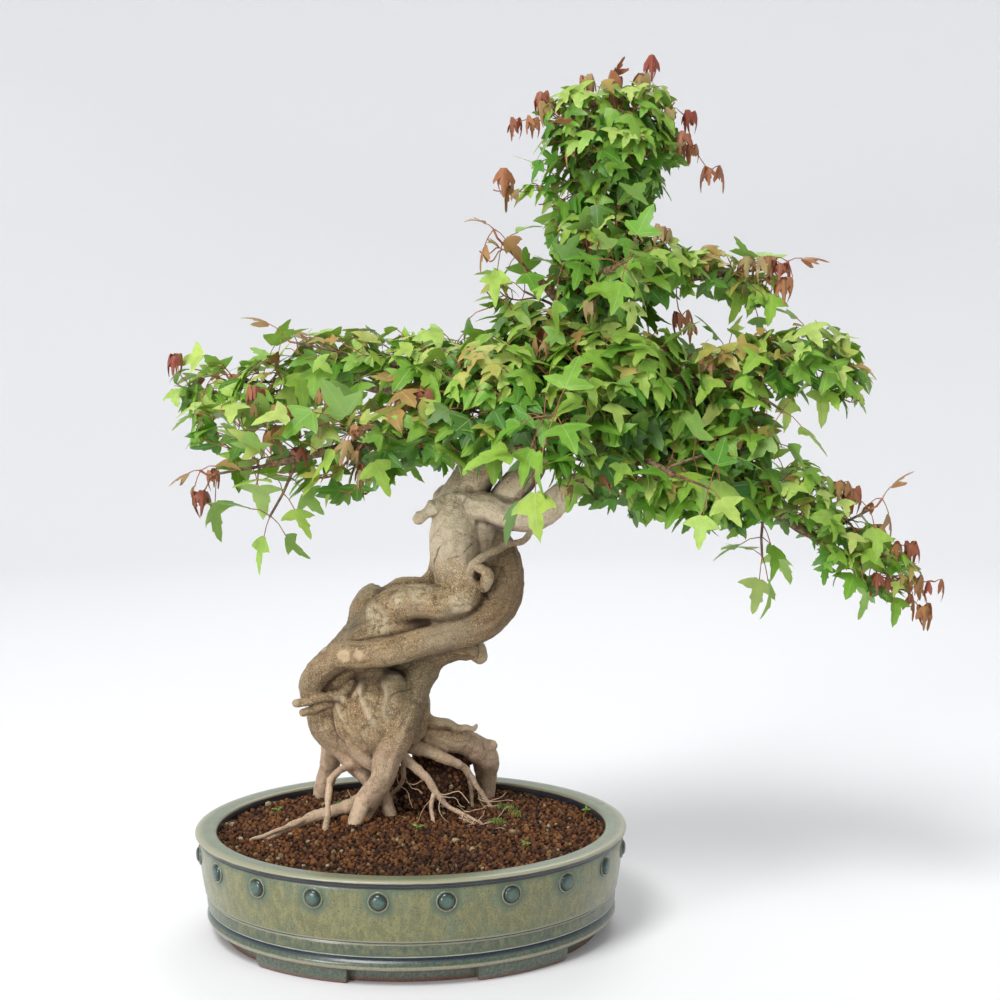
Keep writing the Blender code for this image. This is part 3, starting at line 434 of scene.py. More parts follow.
# Pot
pot = {
    "length": 0.350, "width": 0.300, "spans": 240, "floorTop": 0.022, "floorLow": 0.0122,
    "profile": metres((  # inset from the widest oval, height
        (30, 12.5), (13.5, 12), (10.8, 12.1), (9.3, 13.3), (8.6, 15.2), (8.8, 17.2), (9.8, 19),
        (11.6, 20.5), (12.4, 21.5), (11.8, 22.4), (10, 22.9), (9.3, 23.4), (9.1, 24.2), (9, 25),
        (8.6, 31), (8.5, 32), (8.8, 32.8), (9.4, 33.6), (9.4, 34.2), (8.6, 34.7), (7.8, 35.2),
        (7.2, 36.2), (6.6, 40), (5.2, 48), (4.4, 55), (3.7, 62), (3.2, 69), (3, 74.5), (3.1, 76.5),
        (3.6, 77.6), (3.4, 78.4), (2.4, 79), (1.8, 79.6), (1.8, 80.2), (1, 80.8), (0.2, 81.6), (0, 82.4),
        (0.6, 83.4), (2, 84), (5.5, 84), (12, 84), (14.8, 83.7), (16.6, 82.8), (17.4, 81.3), (17.5, 77),
        (17.5, 31), (18.6, 26.6), (21.5, 23.4), (25.5, 22), (30, 22))),
    "rivets": 20, "rivetSeat": 0.0036, "rivetHeight": 0.0675, "rivetRadius": 0.0085, "rivetGap": 0.0513,
    "rivetSides": 20, "around": 96, "floorInset": 0.022, "drainSides": 32,
    "rivetProfile": metres(((8.5, -3), (8.5, 0), (8, 0.8), (7.4, 1.1), (6.8, 0.8), (6.4, 0.2), (6.2, 0.8),
        (5.5, 2), (4, 2.9), (2, 3.3))),
    "footAngles": (237.5, 302.5, 57.5, 122.5), "footSpan": 30.0, "footHeight": 0.012, "footInset": 0.0125,
    "footThick": 0.020, "footSteps": 14, "drainRadius": 0.011, "drainX": 0.078}


def ovalPoint(angle, inset, height):
    return Vector(((pot["length"] / 2 - inset) * math.cos(angle),
                   (pot["width"] / 2 - inset) * math.sin(angle), height))


def ovalRing(inset, height):
    return [ovalPoint(math.tau * k / pot["around"], inset, height) for k in range(pot["around"])]


def rimLengths():  # angles round the oval, and how far round the rim each one lies
    angles = np.linspace(0.0, math.tau, 2001)
    places = np.array([ovalPoint(a, 0.0, 0.0) for a in angles])
    return angles, np.concatenate([[0.0], np.cumsum(np.linalg.norm(np.diff(places, axis=0), axis=1))])


def glazeFinish():
    made, graph = newFinish("greenGlaze")
    spot = graph.place((-placing["potX"], -placing["potY"], 0.0))
    x, y, z = graph.parts(spot)
    away = ((x / 0.175) ** 2 + (y / 0.150) ** 2) ** 0.5
    level = z + (graph.noise(90, 3.0, 0.6, spot) - 0.5) * 0.0009
    runs = graph.noise(210, 3.0, 0.65, graph.place(stretch=(1.0, 1.0, 0.45)))
    speck = graph.noise(900, 4.0, 0.75, spot)
    grit = graph.noise(420, 3.0, 0.7, spot)
    blotch = graph.noise(55, 3.0, 0.6, spot)
    broad = graph.noise(14, 2.0, 0.5, spot)

    def above(low, high):  # heights in millimetres
        return level.between(*metres((low, high)))

    def band(low, high, soft=0.5):
        return above(low - soft, low + soft) * (1 - above(high - soft, high + soft))

    def speckled(first, second):
        return graph.mix(speck.between(0.42, 0.62), first, second)
    body = graph.layers(
        graph.mix(runs.between(0.35, 0.68), "6a6b48", "828055"),
        (blotch.between(0.45, 0.7) * broad.between(0.35, 0.65) * 0.6, "587060"),
        (above(71, 77) * 0.45, "56705a"),
        (speck.between(0.54, 0.64) * 0.85, "3c402e"),
        (speck.below(0.32, 0.43) * 0.6, "9f9770"),
        (runs.between(0.62, 0.80) * 0.3, "4b5440"))
    navy = graph.mix(blotch.between(0.4, 0.65) * 0.5, speckled("161922", "242a33"), "2c3136")
    torus = graph.mix(grit.between(0.40, 0.62) * 0.6, speckled("33473f", "495a4a"), "6a6649")
    feet = graph.mix(grit.between(0.40, 0.65), speckled("374c45", "4d5f52"), "686855")
    clay = speckled("5a3c30", "7a5a45")
    lipTop = graph.layers(
        speckled("68755b", "7e8768"),
        (away.between(0.955, 0.990), "9a987c"), (away.below(0.898, 0.912), "877a5a"))
    inside = away.below(0.896, 0.903) * (1 - above(80.0, 82.2)) * level.between(0.02, 0.03)
    skin = graph.layers(
        graph.mix(above(1.6, 4.0), clay, feet),  # from the feet up to the lip
        (band(11.2, 13.5), clay),
        (above(13.0, 13.7), speckled("80806c", "9a987e")),
        (above(15.5, 16.6), torus),
        (above(18.8, 19.6), speckled("2c3a44", "435258")),
        (above(22.3, 22.8), speckled("a8a590", "bdb9a2")),
        (above(23.8, 24.3), "4f5b4f"),
        (above(24.9, 25.4), graph.mix(runs.between(0.4, 0.65) * 0.5, torus, body)),
        (above(32.4, 32.8), speckled("85877a", "98947c")),
        (above(33.5, 33.8), "3e423c"),
        (above(34.3, 34.8), speckled("8c8b76", "a19c80")),
        (above(35.9, 36.8), body),
        (above(76.7, 77.3), speckled("1c1d22", "2f3137")),
        (band(78.8, 79.7, 0.3) * 0.5, "5a585c"),
        (above(79.8, 80.1), navy),
        (above(81.6, 82.6), lipTop),
        (inside, navy))
    beat = graph.reads("beat")  # -1 beside a rivet and 1 halfway to the next one
    along = maths("ARCCOSINE")(beat * -1.0) * (pot["rivetGap"] / math.tau)
    far = (along ** 2 + (z - pot["rivetHeight"]) ** 2) ** 0.5 + (blotch - 0.5) * 0.008
    halo = far.below(0.0085, 0.0150) * band(37.0, 76.5) * graph.reads("wall")
    reach, stud = graph.reads("reach"), graph.reads("stud")
    rim = reach.between(0.74, 0.80) * reach.below(0.93, 0.99)
    dome = graph.layers(
        graph.mix(reach.below(0.30, 0.66), speckled("182c2e", "263f3d"), speckled("38524a", "546a59")),
        (rim * (0.45 + 0.5 * blotch), speckled("8a8461", "a39a76")))
    skin = graph.layers(skin, (halo * 0.75, speckled("355248", "4f6a58")), (stud, dome))
    rough = graph.noise(60, 2.0, 0.5, spot).between(0.2, 0.9) * 0.14 + 0.27
    graph.surface(baseColor=skin, roughness=rough, coatWeight=0.35, coatRoughness=0.18,
                  normal=graph.bump(grit * 0.6 + runs * 0.4 + speck * 0.25, 0.42, 0.0006))
    return made


def sweepTree(finish):  # the wall's outline carried round the oval
    tree, graph, given = nodeTree("potWall", Length=("Float", pot["length"]), Width=("Float", pot["width"]),
                                  Spans=("Int", pot["spans"]))
    ring = graph.add("GeometryNodeCurvePrimitiveCircle", None, {
        "Resolution": given.other("Spans"), "Radius": 0.5})
    reach = graph.add("ShaderNodeCombineXYZ", None, {
        "X": given.other("Length"), "Y": given.other("Width"), "Z": 1.0})
    oval = graph.add("GeometryNodeTransform", None, {"Geometry": ring, "Scale": reach})
    oval = graph.add("GeometryNodeSetCurveNormal", {"mode": "Z_UP"}, {"Curve": oval})
    outline = graph.add("GeometryNodeMeshToCurve", None, {"Mesh": given})
    wall = graph.add("GeometryNodeCurveToMesh", None, {"Curve": oval, "Profile Curve": outline})
    close(graph, wall, finish)
    return tree


def floorTree(finish):  # the floor slab with its two drain holes
    tree, graph, given = nodeTree("potFloor", Thickness=("Float", pot["floorTop"] - pot["floorLow"]))
    outline = graph.add("GeometryNodeMeshToCurve", None, {"Mesh": given})
    flat = graph.add("GeometryNodeFillCurve", {"mode": "NGONS"}, {"Curve": outline})
    raised = graph.add("GeometryNodeExtrudeMesh", None, {
        "Mesh": flat, "Offset": graph.vector(0.0, 0.0, 1.0), "Offset Scale": given.other("Thickness"),
        "Individual": False})
    under = graph.add("GeometryNodeFlipFaces", None, {"Mesh": flat})
    both = graph.add("GeometryNodeJoinGeometry", None, {"Geometry": raised})
    graph.tree.links.new(under.socket, both.node.inputs[0])
    joined = graph.add("GeometryNodeMergeByDistance", None, {"Geometry": both, "Distance": 0.00001})
    close(graph, joined, finish, False)
    return tree


def ringLine(bm, points):
    verts = [bm.verts.new(p) for p in points]
    for k in range(len(verts)):
        bm.edges.new((verts[k - 1], verts[k]))


def rivetShape():
    bm = bmesh.new()
    rings = [[bm.verts.new((x, y, height)) for x, y in circle(pot["rivetSides"], radius)]
             for radius, height in pot["rivetProfile"]]
    bridge(bm, rings)
    mesh = meshOf("rivet", bm)
    store(mesh, "stud", [1.0] * len(mesh.vertices))
    store(mesh, "reach", [math.hypot(*v.co[:2]) / pot["rivetRadius"] for v in mesh.vertices])
    return mesh


def rivetRows():
    angles, lengths = rimLengths()
    rows = []
    for n in range(pot["rivets"]):
        angle = angles[np.searchsorted(lengths, lengths[-1] * (n + 0.5) / pot["rivets"])]
        outward = Vector((math.cos(angle) / pot["length"], math.sin(angle) / pot["width"], 0.0))
        rows.append({"place": ovalPoint(angle, pot["rivetSeat"], pot["rivetHeight"]),
                     "pose": outward.to_track_quat("Z", "Y").to_euler(), "size": 1.0, "shape": 0})
    return rows


def potFoot(middle):
    bm = bmesh.new()
    steps, rows = pot["footSteps"], []
    inset, thick, top = pot["footInset"], pot["footThick"], pot["footHeight"] + 0.003
    section = ((0.0, top), (0.0004, 0.0060), (0.0012, 0.0022), (0.0030, 0.0), (thick - 0.0030, 0.0),
               (thick - 0.0012, 0.0022), (thick - 0.0004, 0.0060), (thick, top))
    for i in range(steps + 1):
        share = i / steps - 0.5
        row = []
        for inward, height in section:
            taper = 1.0 - 0.035 * max(0.0, 1.0 - height / 0.006) ** 2
            row.append(bm.verts.new(ovalPoint(middle + math.radians(pot["footSpan"]) * share * taper,
                                              inset + inward, height)))
        rows.append(row)
    bridge(bm, rows, False)
    ends = [bm.faces.new(rows[0]), bm.faces.new(rows[-1])]
    edges = [e for face in ends for e in face.edges]
    bmesh.ops.bevel(bm, geom=edges, offset=0.0012, segments=2, affect="EDGES", profile=0.6)
    return meshOf("foot", bm)


def joinItems(items, name):
    bm = bmesh.new()
    for item in items:
        bm.from_mesh(item.data)
    finish = items[0].data.materials[0]
    mesh = meshOf(name, bm, False)
    for item in items:
        bpy.data.objects.remove(item, do_unlink=True)
    return newItem(name, mesh, finish)


def makePot():
    glaze = glazeFinish()
    bm = bmesh.new()
    ringLine(bm, [(-inset, -height, 0.0) for inset, height in pot["profile"]])
    wall = shaped(newItem("potWall", meshOf("potWall", bm, False)), sweepTree(glaze), {})
    angles, lengths = rimLengths()
    turns = [math.atan2(v.co.y / pot["width"], v.co.x / pot["length"]) % math.tau for v in wall.data.vertices]
    share = np.interp(turns, angles, lengths) / lengths[-1]
    store(wall.data, "beat", np.cos(share * math.tau * pot["rivets"]))
    store(wall.data, "wall", [1.0] * len(turns))
    bm = bmesh.new()
    low = pot["floorLow"]
    ringLine(bm, ovalRing(pot["floorInset"], low))
    for side in (-1, 1):
        hole = circle(pot["drainSides"], pot["drainRadius"])
        ringLine(bm, [(side * pot["drainX"] + x, y, low) for x, y in hole])
    slab = shaped(newItem("potFloor", meshOf("potFloor", bm, False)), floorTree(glaze), {})
    box = shapeBox("rivet", [rivetShape()])
    studs = shaped(pointsItem("rivets", rivetRows()), copiesTree("rivetCopies", glaze), {"Shapes": box})
    emptyBox(box)
    feet = [newItem("foot", potFoot(math.radians(a)), glaze) for a in pot["footAngles"]]
    for item in (wall, *feet):  # their faces have to point outward
        bm = bmesh.new()
        bm.from_mesh(item.data)
        bmesh.ops.recalc_face_normals(bm, faces=bm.faces)
        bm.to_mesh(item.data)
        bm.free()
    body = joinItems([wall, slab, studs, *feet], "glazedPot")
    body.data.shade_smooth()
    body.data.set_sharp_from_angle(angle=math.radians(50.0))
    handOver(body, "green_glaze", "pot", place=potFrame)
    print("pot is made,", len(body.data.polygons), "faces")


def dressMeshes():
    made, graph = newFinish("blackMesh")
    fine = graph.noise(600, 2.0)
    graph.surface(baseColor=graph.mix(fine, "141414", "26282a"), roughness=fine * 0.2 + 0.42,
                  normal=graph.bump(fine, 0.2, 0.0003))
    for name in ("drain_mesh_left", "drain_mesh_right"):
        item = frame["nodes"][name]
        for slot in item.material_slots:
            slot.material = made


makePot()
dressMeshes()

# Wood: each strand is a route of (right, back, up, half thickness)
strands = metres({
    "core": ((32, 58, 340, 18), (35, 58, 309, 21), (31, 62, 274, 23), (17, 70, 252, 25), (2, 70, 228, 26),
        (-9, 66, 205, 25), (-15, 60, 182, 27), (-25, 56, 162, 34), (-42, 56, 142, 32), (-45, 56, 128, 22)),
    "ribbonStrand": ((45, 62, 323, 15), (65, 48, 306, 17), (73, 36, 285, 19), (70, 30, 262, 18),
        (57, 22, 246, 16), (35, 14, 238, 13), (11, 8, 232, 12), (-14, 6, 225, 12), (-38, 6, 222, 12),
        (-58, 10, 219, 12), (-73, 20, 208, 12), (-83, 32, 193, 12), (-85, 40, 180, 10)),
    "elbowStrand": ((41, 32, 341, 16), (34, 30, 320, 20), (35, 26, 300, 20), (38, 22, 282, 20),
        (39, 16, 268, 17), (24, 14, 262, 15), (3, 20, 262, 16), (-14, 32, 254, 19), (-32, 46, 237, 19),
        (-53, 56, 219, 16), (-67, 60, 199, 17), (-70, 58, 172, 20)),
    "hollowBack": ((-34, 64, 218, 22), (-42, 66, 196, 22), (-44, 60, 172, 22)),
    "shoulder": ((11, 62, 264, 13), (-8, 60, 264, 13), (-25, 58, 255, 13)),
    "knob": ((-12, 52, 202, 16), (8, 50, 214, 16), (32, 48, 220, 13), (45, 46, 219, 10),
        (53, 44, 218, 7.5)),
    "bellyLeft": ((-69, 56, 173, 19), (-69, 54, 154, 22), (-59, 54, 137, 17), (-50, 52, 120, 11),
        (-39, 44, 110, 8)),
    "bellyMiddle": ((-35, 40, 185, 22), (-35, 30, 162, 25), (-30, 34, 142, 20)),
    "bellyRight": ((-5, 44, 184, 17), (-4, 44, 165, 18), (-8, 40, 151, 17)),
    "wing": ((0, 50, 164, 8), (20, 50, 158, 5), (31, 48, 157, 4), (43, 45, 158, 3)),
    "frontRoot": ((-8, 36, 173, 17), (-14, 22, 153, 16), (-21, 16, 133, 12), (-27, 20, 112, 10),
        (-39, 32, 92, 10), (-43, 30, 80, 8), (-44, 28, 64, 6)),
    "rearRoot": ((-68, 78, 137, 15), (-74, 88, 120, 10), (-78, 96, 101, 9), (-84, 100, 84, 8),
        (-86, 102, 64, 6.5)),
    "archRoot": ((-2, 50, 150, 12), (19, 56, 142, 8.5), (38, 66, 135, 9.5), (53, 78, 125, 11),
        (59, 90, 105, 10), (60, 96, 87, 8.5), (59, 97, 64, 6.5)),
    "archKnob": ((56, 78, 127, 7), (65, 78, 128, 5.5)),
    "neckBridge": ((41, 34, 338, 16), (59, 26, 340, 12), (78, 22, 334, 12), (98, 20, 333, 13),
        (114, 20, 342, 12), (130, 20, 358, 10.5)),
    "neckWeb": ((76, 34, 345, 13), (88, 32, 361, 13), (100, 30, 374, 11)),
    "leader": ((37, 44, 337, 20), (45, 42, 354, 18), (57, 34, 376, 16), (76, 26, 403, 13),
        (100, 24, 434, 11), (124, 24, 466, 10), (139, 23, 498, 8.5)),
})
sideRoots = metres({
    "leftSurfaceRoot": ((-38, 34, 94, 7), (-60, 30, 86, 5), (-78, 22, 83, 4.8), (-92, 10, 80, 4),
        (-106, -10, 78, 3.2), (-118, -30, 76.5, 2.2)),
    "leftFineRoot": ((-88, 14, 82, 2.4), (-104, -12, 81.5, 1.7), (-127, -38, 80.2, 1.4)),
    "rightSideRoot": ((-8, 40, 138, 6.5), (13, 42, 131, 5), (26, 46, 124, 4.2), (37, 52, 118, 3.4),
        (44, 58, 110, 2.8), (53, 60, 95, 2), (66, 61, 74, 1.6)),
    "rightSideFork": ((43, 57, 112, 2.2), (46, 62, 96, 1.8), (49, 66, 74, 1.5)),
    "middleRoot": ((-13, 28, 138, 5), (-4, 26, 127, 4.2), (10, 26, 114, 3.4), (19, 26, 100, 2.8),
        (30, 28, 88, 2), (45, 24, 81, 1.6), (60, 10, 76, 1.4)),
    "middleFork": ((18, 26, 102, 2.2), (15, 22, 88, 1.8), (17, 16, 74, 1.5)),
    "backFineRoot": ((-10, 36, 142, 2.6), (-10, 40, 108, 1.8), (-20, 48, 92, 1.5), (-30, 52, 74, 1.4)),
    "hangingRoot": ((-50, 46, 120, 4), (-59, 34, 119, 3), (-68, 20, 114, 2.7), (-69, 8, 104, 2.5),
        (-69, -2, 92, 2.4), (-71, -7, 73, 2.2)),
    "upperDeadRoot": ((-50.5, 36, 198.5, 4.4), (-53, 28, 191, 4.2), (-60, 24, 184.6, 4.6),
        (-70.8, 23, 182.6, 3.8), (-79.1, 25, 181.4, 4.2), (-88, 27, 177.5, 3.4), (-97.5, 28, 176, 3.6)),
    "lowerDeadRoot": ((-54, 40, 182, 4), (-61.7, 32, 179.3, 3.6), (-70.8, 29, 176, 3.9),
        (-83.3, 30, 170.1, 3.2), (-94, 31, 166, 3.3)),
    "deadFork": ((-60, 25, 184.5, 3.4), (-56, 20, 180.5, 3.6), (-52.1, 22, 176.8, 3)),
    "deadKnot": ((-41, 36, 201, 3.8), (-41.5, 21, 193, 3.5), (-45, 16, 186, 3.7), (-47, 16, 181, 3.3)),
    "neckStub": ((33, 38, 346, 8), (25, 30, 343, 5.6), (18, 28, 339, 6.6), (11, 27, 334, 4.6),
        (5, 27, 330, 5.4)),
    "aerialRoot": ((101, 22, 324, 2.7), (91, 16, 314, 2.4), (76, 12, 310, 3), (61, 7, 303, 3.1),
        (51, 4, 297, 3.2), (47, 4, 289, 3.3), (47.5, 4, 282, 3.8), (51, 8, 278, 4.6)),
    "aerialKnob": ((50, 4, 295, 3.2), (57, 4, 292, 3.6), (62, 4, 286, 5), (59, 8, 276, 4.6)),
})
branches = {  # route, side shoots, shoot length, leaf length, lift, rise, leaf pairs, shoots that end red
    "left_rear": (((68, 30, 390, 8), (14, 58, 426, 6.2), (-29, 78, 435, 5.2), (-73, 92, 443, 4),
        (-122, 98, 440, 3)), 2, 42, 36, 0.1, 0.6, 2, (2,)),
    "left_front": (((52, 34, 374, 7.4), (15, 10, 394, 6), (-23, -12, 395, 4.8), (-60, -32, 390, 3.8),
        (-108, -50, 380, 2.8)), 3, 46, 37, 0.12, 0.5, 3, (1, 3)),
    "left_middle": (((78, 28, 408, 6.6), (31, 30, 444, 5.2), (-10, 34, 456, 4.2), (-50, 36, 464, 3.2)), 1,
        42, 35, 0.05, 0.5, 2, (1,)),
    "centre_front": (((84, 22, 414, 6.4), (91, -20, 420, 5.2), (102, -68, 418, 3)), 3, 48, 40, 0.25, 0.9,
        3, ()),
    "centre_back": (((106, 28, 440, 6.4), (116, 70, 452, 5.4), (127, 118, 450, 3.2)), 2, 48, 36, 0.25,
        0.9, 2, ()),
    "right_upper": (((126, 24, 470, 7.2), (168, 10, 455, 6), (214, -4, 445, 5.2), (250, -10, 441, 3.8),
        (282, -8, 446, 2.8)), 3, 42, 36, 0.1, 0.7, 3, ()),
    "right_low": (((124, 20, 352, 10), (161, 14, 374, 7.6), (200, 6, 384, 6.6), (240, 0, 371, 5.6),
        (280, -2, 346, 4.6), (318, 0, 322, 3.8), (350, 4, 303, 2.8)), 4, 42, 34, 0.25, 0.6, 3, (3, 4)),
    "right_back": (((153, 20, 370, 6.6), (189, 60, 386, 5.6), (242, 96, 382, 3)), 1, 48, 36, 0.15, 0.8, 2,
        ()),
    "right_front": (((156, 10, 372, 6), (175, -24, 384, 4.8), (204, -62, 374, 3)), 2, 46, 36, 0.05, 0.8,
        2, ()),
    "tier_left": (((136, 22, 491, 4.8), (116, 10, 511, 4), (98, -2, 527, 3)), 1, 38, 32, 0.15, 1.0, 2,
        (1,)),
    "tier_right": (((139, 22, 500, 5.2), (176, 12, 515, 4.4), (215, 6, 524, 3.6), (252, 4, 528, 2.8)), 1,
        40, 32, 0.05, 0.8, 3, (1,)),
    "tier_back": (((141, 24, 510, 4.8), (150, 58, 528, 4), (158, 90, 536, 3)), 1, 38, 32, 0.25, 1.0, 2, ()),
    "tier_front": (((142, 20, 518, 4.6), (150, -16, 527, 3.8), (158, -48, 530, 2.8)), 1, 38, 32, 0.1, 1.0,
        2, ()),
    "upper_leader": (((137, 23, 490, 8.8), (146, 22, 528, 7.4), (149, 20, 559, 6.2), (152, 15, 592, 4.4),
        (155, 10, 621, 3)), 6, 36, 32, 0.15, 1.0, 2, (5, 6)),
}
for key, (route, count, reach, leaf, *rest) in branches.items():
    branches[key] = (metres(route), count, *metres((reach, leaf)), *rest)
fills = metres({  # wood that closes the hollows between the strands, as routes like theirs
    "neckFill": ((50, 40, 335, 18), (52, 42, 310, 19), (56, 40, 285, 18), (52, 36, 262, 14)),
    "recess": ((-30, 52, 222, 14), (-34, 46, 205, 19), (-35, 42, 185, 22)),
    "rootRise": ((12, 52, 212, 13), (2, 46, 195, 16), (-6, 38, 178, 17)),
    "shoulderFold": ((-36, 52, 262, 12), (-40, 54, 250, 14), (-45, 56, 238, 12)),
    "bellyFoot": ((-42, 46, 113, 8.5), (-30, 40, 98, 7.5), (-22, 38, 84, 6), (-18, 36, 70, 5)),
    "archBody": ((8, 52, 146, 12), (24, 56, 139, 11.5), (40, 65, 135, 11.5), (52, 77, 125, 12)),
    "archTop": ((0, 52, 156, 10), (20, 54, 148, 8), (36, 62, 142, 7)),
    "archKnuckle": ((50, 76, 127, 11.5), (58, 84, 117, 12), (60, 92, 104, 10.5)),
    "footKnob": ((-42, 27, 96, 6.5), (-46, 18, 84, 7), (-49, 12, 75, 5.8), (-50, 9, 66, 4.5)),
    "ribbonWeb": ((-46, 32, 214, 14), (-60, 36, 205, 16), (-66, 42, 190, 17), (-66, 46, 175, 18)),
    "crease": ((46, 32, 252, 13), (28, 28, 248, 11), (0, 26, 242, 12), (-28, 26, 235, 13),
        (-50, 30, 224, 13)),
    "bellySkin": ((-52, 36, 185, 14), (-52, 32, 165, 15), (-44, 30, 145, 14), (-34, 28, 130, 12)),
    "bellyCover": ((-18, 30, 192, 12), (-18, 24, 172, 13), (-22, 20, 155, 13)),
    "knobLobe": ((40, 46, 221, 10), (50, 44, 219, 9.5), (55, 44, 213, 7.5)),
    "wingFlap": ((2, 48, 161, 8.5), (16, 46, 156, 5.2), (28, 48, 154.5, 4), (36, 52, 149, 3.4),
        (44, 51, 150, 2.8), (49, 51, 148, 2.4), (52, 50, 152, 2)),
})
wood = {"voxel": 0.00155, "sides": 16, "steps": 6, "soften": 3, "lumps": 0.0015, "grain": 0.0009,
        "fine": 0.0004, "skyRays": 14, "skyReach": 0.032, "thinnest": 0.0033, "markDepth": 0.03,
        "grains": ((2.1, 24.0), (5.5, 45.0), (0.9, 330.0))}  # across and along: fibres, threads and rings
barkMarks = metres({  # seen from the front, as (right, up) at the depth 30: how deep, how wide, points
    "grooves": ((1.2, 2.2, ((-68.5, 171.7), (-66.9, 164.1), (-64.5, 153.9), (-59.6, 144.6),
        (-53.9, 136.1))), (1.6, 1.8, ((53.6, 279), (56.9, 272.3), (60.2, 266.5), (62.7, 261.5))), (0.7,
        1.8, ((75.9, 302.2), (74.2, 291.4), (69.3, 279), (67.6, 269), (65.2, 259.8))), (1, 1.6,
        ((28.2, 313), (22.5, 306.3), (19.1, 298.9), (17.5, 290.6), (19.1, 281.5), (21.5, 270.6))), (0.9,
        1.4, ((54.5, 313), (47.1, 307.2), (39.7, 298.9))), (0.7, 1.4, ((27.3, 296.4), (34.8, 298.1),
        (41.3, 299.7))), (0.7, 1.4, ((32.4, 322.1), (40.6, 317.1), (50.4, 317.9))), (0.8, 1.4,
        ((51.9, 228.9), (54.4, 220.5), (52.7, 211.3))), (0.8, 1.6, ((-22.8, 179.3), (-14.5, 184.4),
        (-4.5, 186.9), (6.3, 190.3))), (0.6, 1.4, ((-24.5, 170.9), (-16.2, 175.9), (-7.9, 177.6))), (0.6,
        1.8, ((-61.2, 156.5), (-52.9, 146.3), (-43, 140.5))), (0.8, 1.5, ((-31.2, 270.6), (-23.8, 274),
        (-13.9, 275.6), (-2.4, 274), (9.1, 270.6), (15.7, 265.6))), (0.6, 1.4, ((-38.7, 257.3),
        (-30.5, 259.8), (-20.6, 259)))),
    "ridges": ((1.6, 3, ((-41.7, 202), (-44.2, 191.9), (-43.5, 181), (-39.4, 170.9), (-34.5, 160.7),
        (-28.8, 153.9))), (1.4, 2.8, ((-26, 195.3), (-22.7, 186.9), (-22.8, 178.5), (-24.5, 168.3),
        (-22.9, 159.9))), (1, 2.8, ((-62.5, 185.2), (-63.5, 175.1), (-60.2, 164.9), (-53.7, 154.8))), (1,
        2.6, ((20, 312.1), (23.3, 302.2), (21.6, 290.6))), (1.4, 3, ((24.2, 345.2), (32.4, 350.1),
        (43.9, 347.6), (53.7, 342.7), (65.2, 342.7))), (1.2, 2.6, ((81.6, 354.2), (83.2, 345.2),
        (80.8, 337.7), (88.1, 336.1), (97.2, 338.6)))),
    "scars": ((-58.1, 215.5, 5.6), (-45.7, 216.3, 4.2), (-73.8, 220.5, 2.8), (45.4, 255.6, 3.4), (-75,
        181.8, 3), (-46, 181, 2.2), (62.6, 117.4, 3.4)),
    "flakes": ((5.8, 270.6, 11), (-27.3, 244, 12), (38.8, 259.8, 10), (-33.8, 252.3, 9), (-12.3, 264, 8),
        (30, 343, 14), (45, 350, 12)),
})


def smoothRoute(points, steps):
    rows = [Vector((*p[:3], p[3])) for p in points]
    ends = [rows[0] * 2 - rows[1]] + rows + [rows[-1] * 2 - rows[-2]]
    route = []
    for i in range(1, len(ends) - 2):
        before, here, there, after = ends[i - 1:i + 3]
        for k in range(steps):
            t = k / steps
            route.append(0.5 * (
                2 * here + (there - before) * t
                + (2 * before - 5 * here + 4 * there - after) * t ** 2
                + (3 * here - before - 3 * there + after) * t ** 3))
    route.append(rows[-1])
    return route


def addTube(bm, route, sides, swell=0.0):
    centres = [Vector(p[:3]) for p in route]
    across = None
    rings = []
    for i, centre in enumerate(centres):
        tangent = (centres[min(i + 1, len(centres) - 1)] - centres[max(i - 1, 0)]).normalized()
        if across is None:
            across = tangent.orthogonal().normalized()
        across = (across - tangent * across.dot(tangent)).normalized()
        other = tangent.cross(across)
        ring = []
        for k in range(sides):
            angle = math.tau * k / sides
            offset = across * math.cos(angle) + other * math.sin(angle)
            ring.append(bm.verts.new(centre + offset * (route[i][3] + swell)))
        rings.append(ring)
    bridge(bm, rings)


def rounded(route):  # the route with two shrinking points past either end
    def ending(end, before):
        ahead = Vector((end - before)[:3]).normalized() * end[3]
        return [Vector((*(Vector(end[:3]) + ahead * far), end[3] * wide))
                for far, wide in ((0.55, 0.80), (0.88, 0.42))]
    return ending(route[0], route[1])[::-1] + list(route) + ending(route[-1], route[-2])


def fusedWood():
    bm = bmesh.new()
    for name, points in [*strands.items(), *fills.items()]:
        if name != "wing":
            addTube(bm, rounded(smoothRoute(points, wood["steps"])), wood["sides"])
    for points in sideRoots.values():
        thick = [p for p in smoothRoute(points, 4) if p[3] > wood["thinnest"]]
        if len(thick) > 2:
            addTube(bm, rounded(thick), 12)
    item = newItem("wood", meshOf("wood", bm))
    blend = item.modifiers.new("blend", "REMESH")
    blend.mode, blend.voxel_size = "VOXEL", wood["voxel"]
    soften = item.modifiers.new("soften", "SMOOTH")
    soften.iterations = wood["soften"]
    return settle(item)


def hollowness(item):  # how deep each point lies below a much smoother copy of the wood
    smooth = item.modifiers.new("smooth", "SMOOTH")
    smooth.iterations = 30
    round_ = evaluated(item)
    item.modifiers.clear()
    count = len(item.data.vertices)
    here, there, out = (np.empty(count * 3, np.float32) for _ in range(3))
    item.data.vertices.foreach_get("co", here)
    round_.vertices.foreach_get("co", there)
    item.data.vertex_normals.foreach_get("vector", out)
    bpy.data.meshes.remove(round_)
    return ((there - here).reshape(-1, 3) * out.reshape(-1, 3)).sum(axis=1)


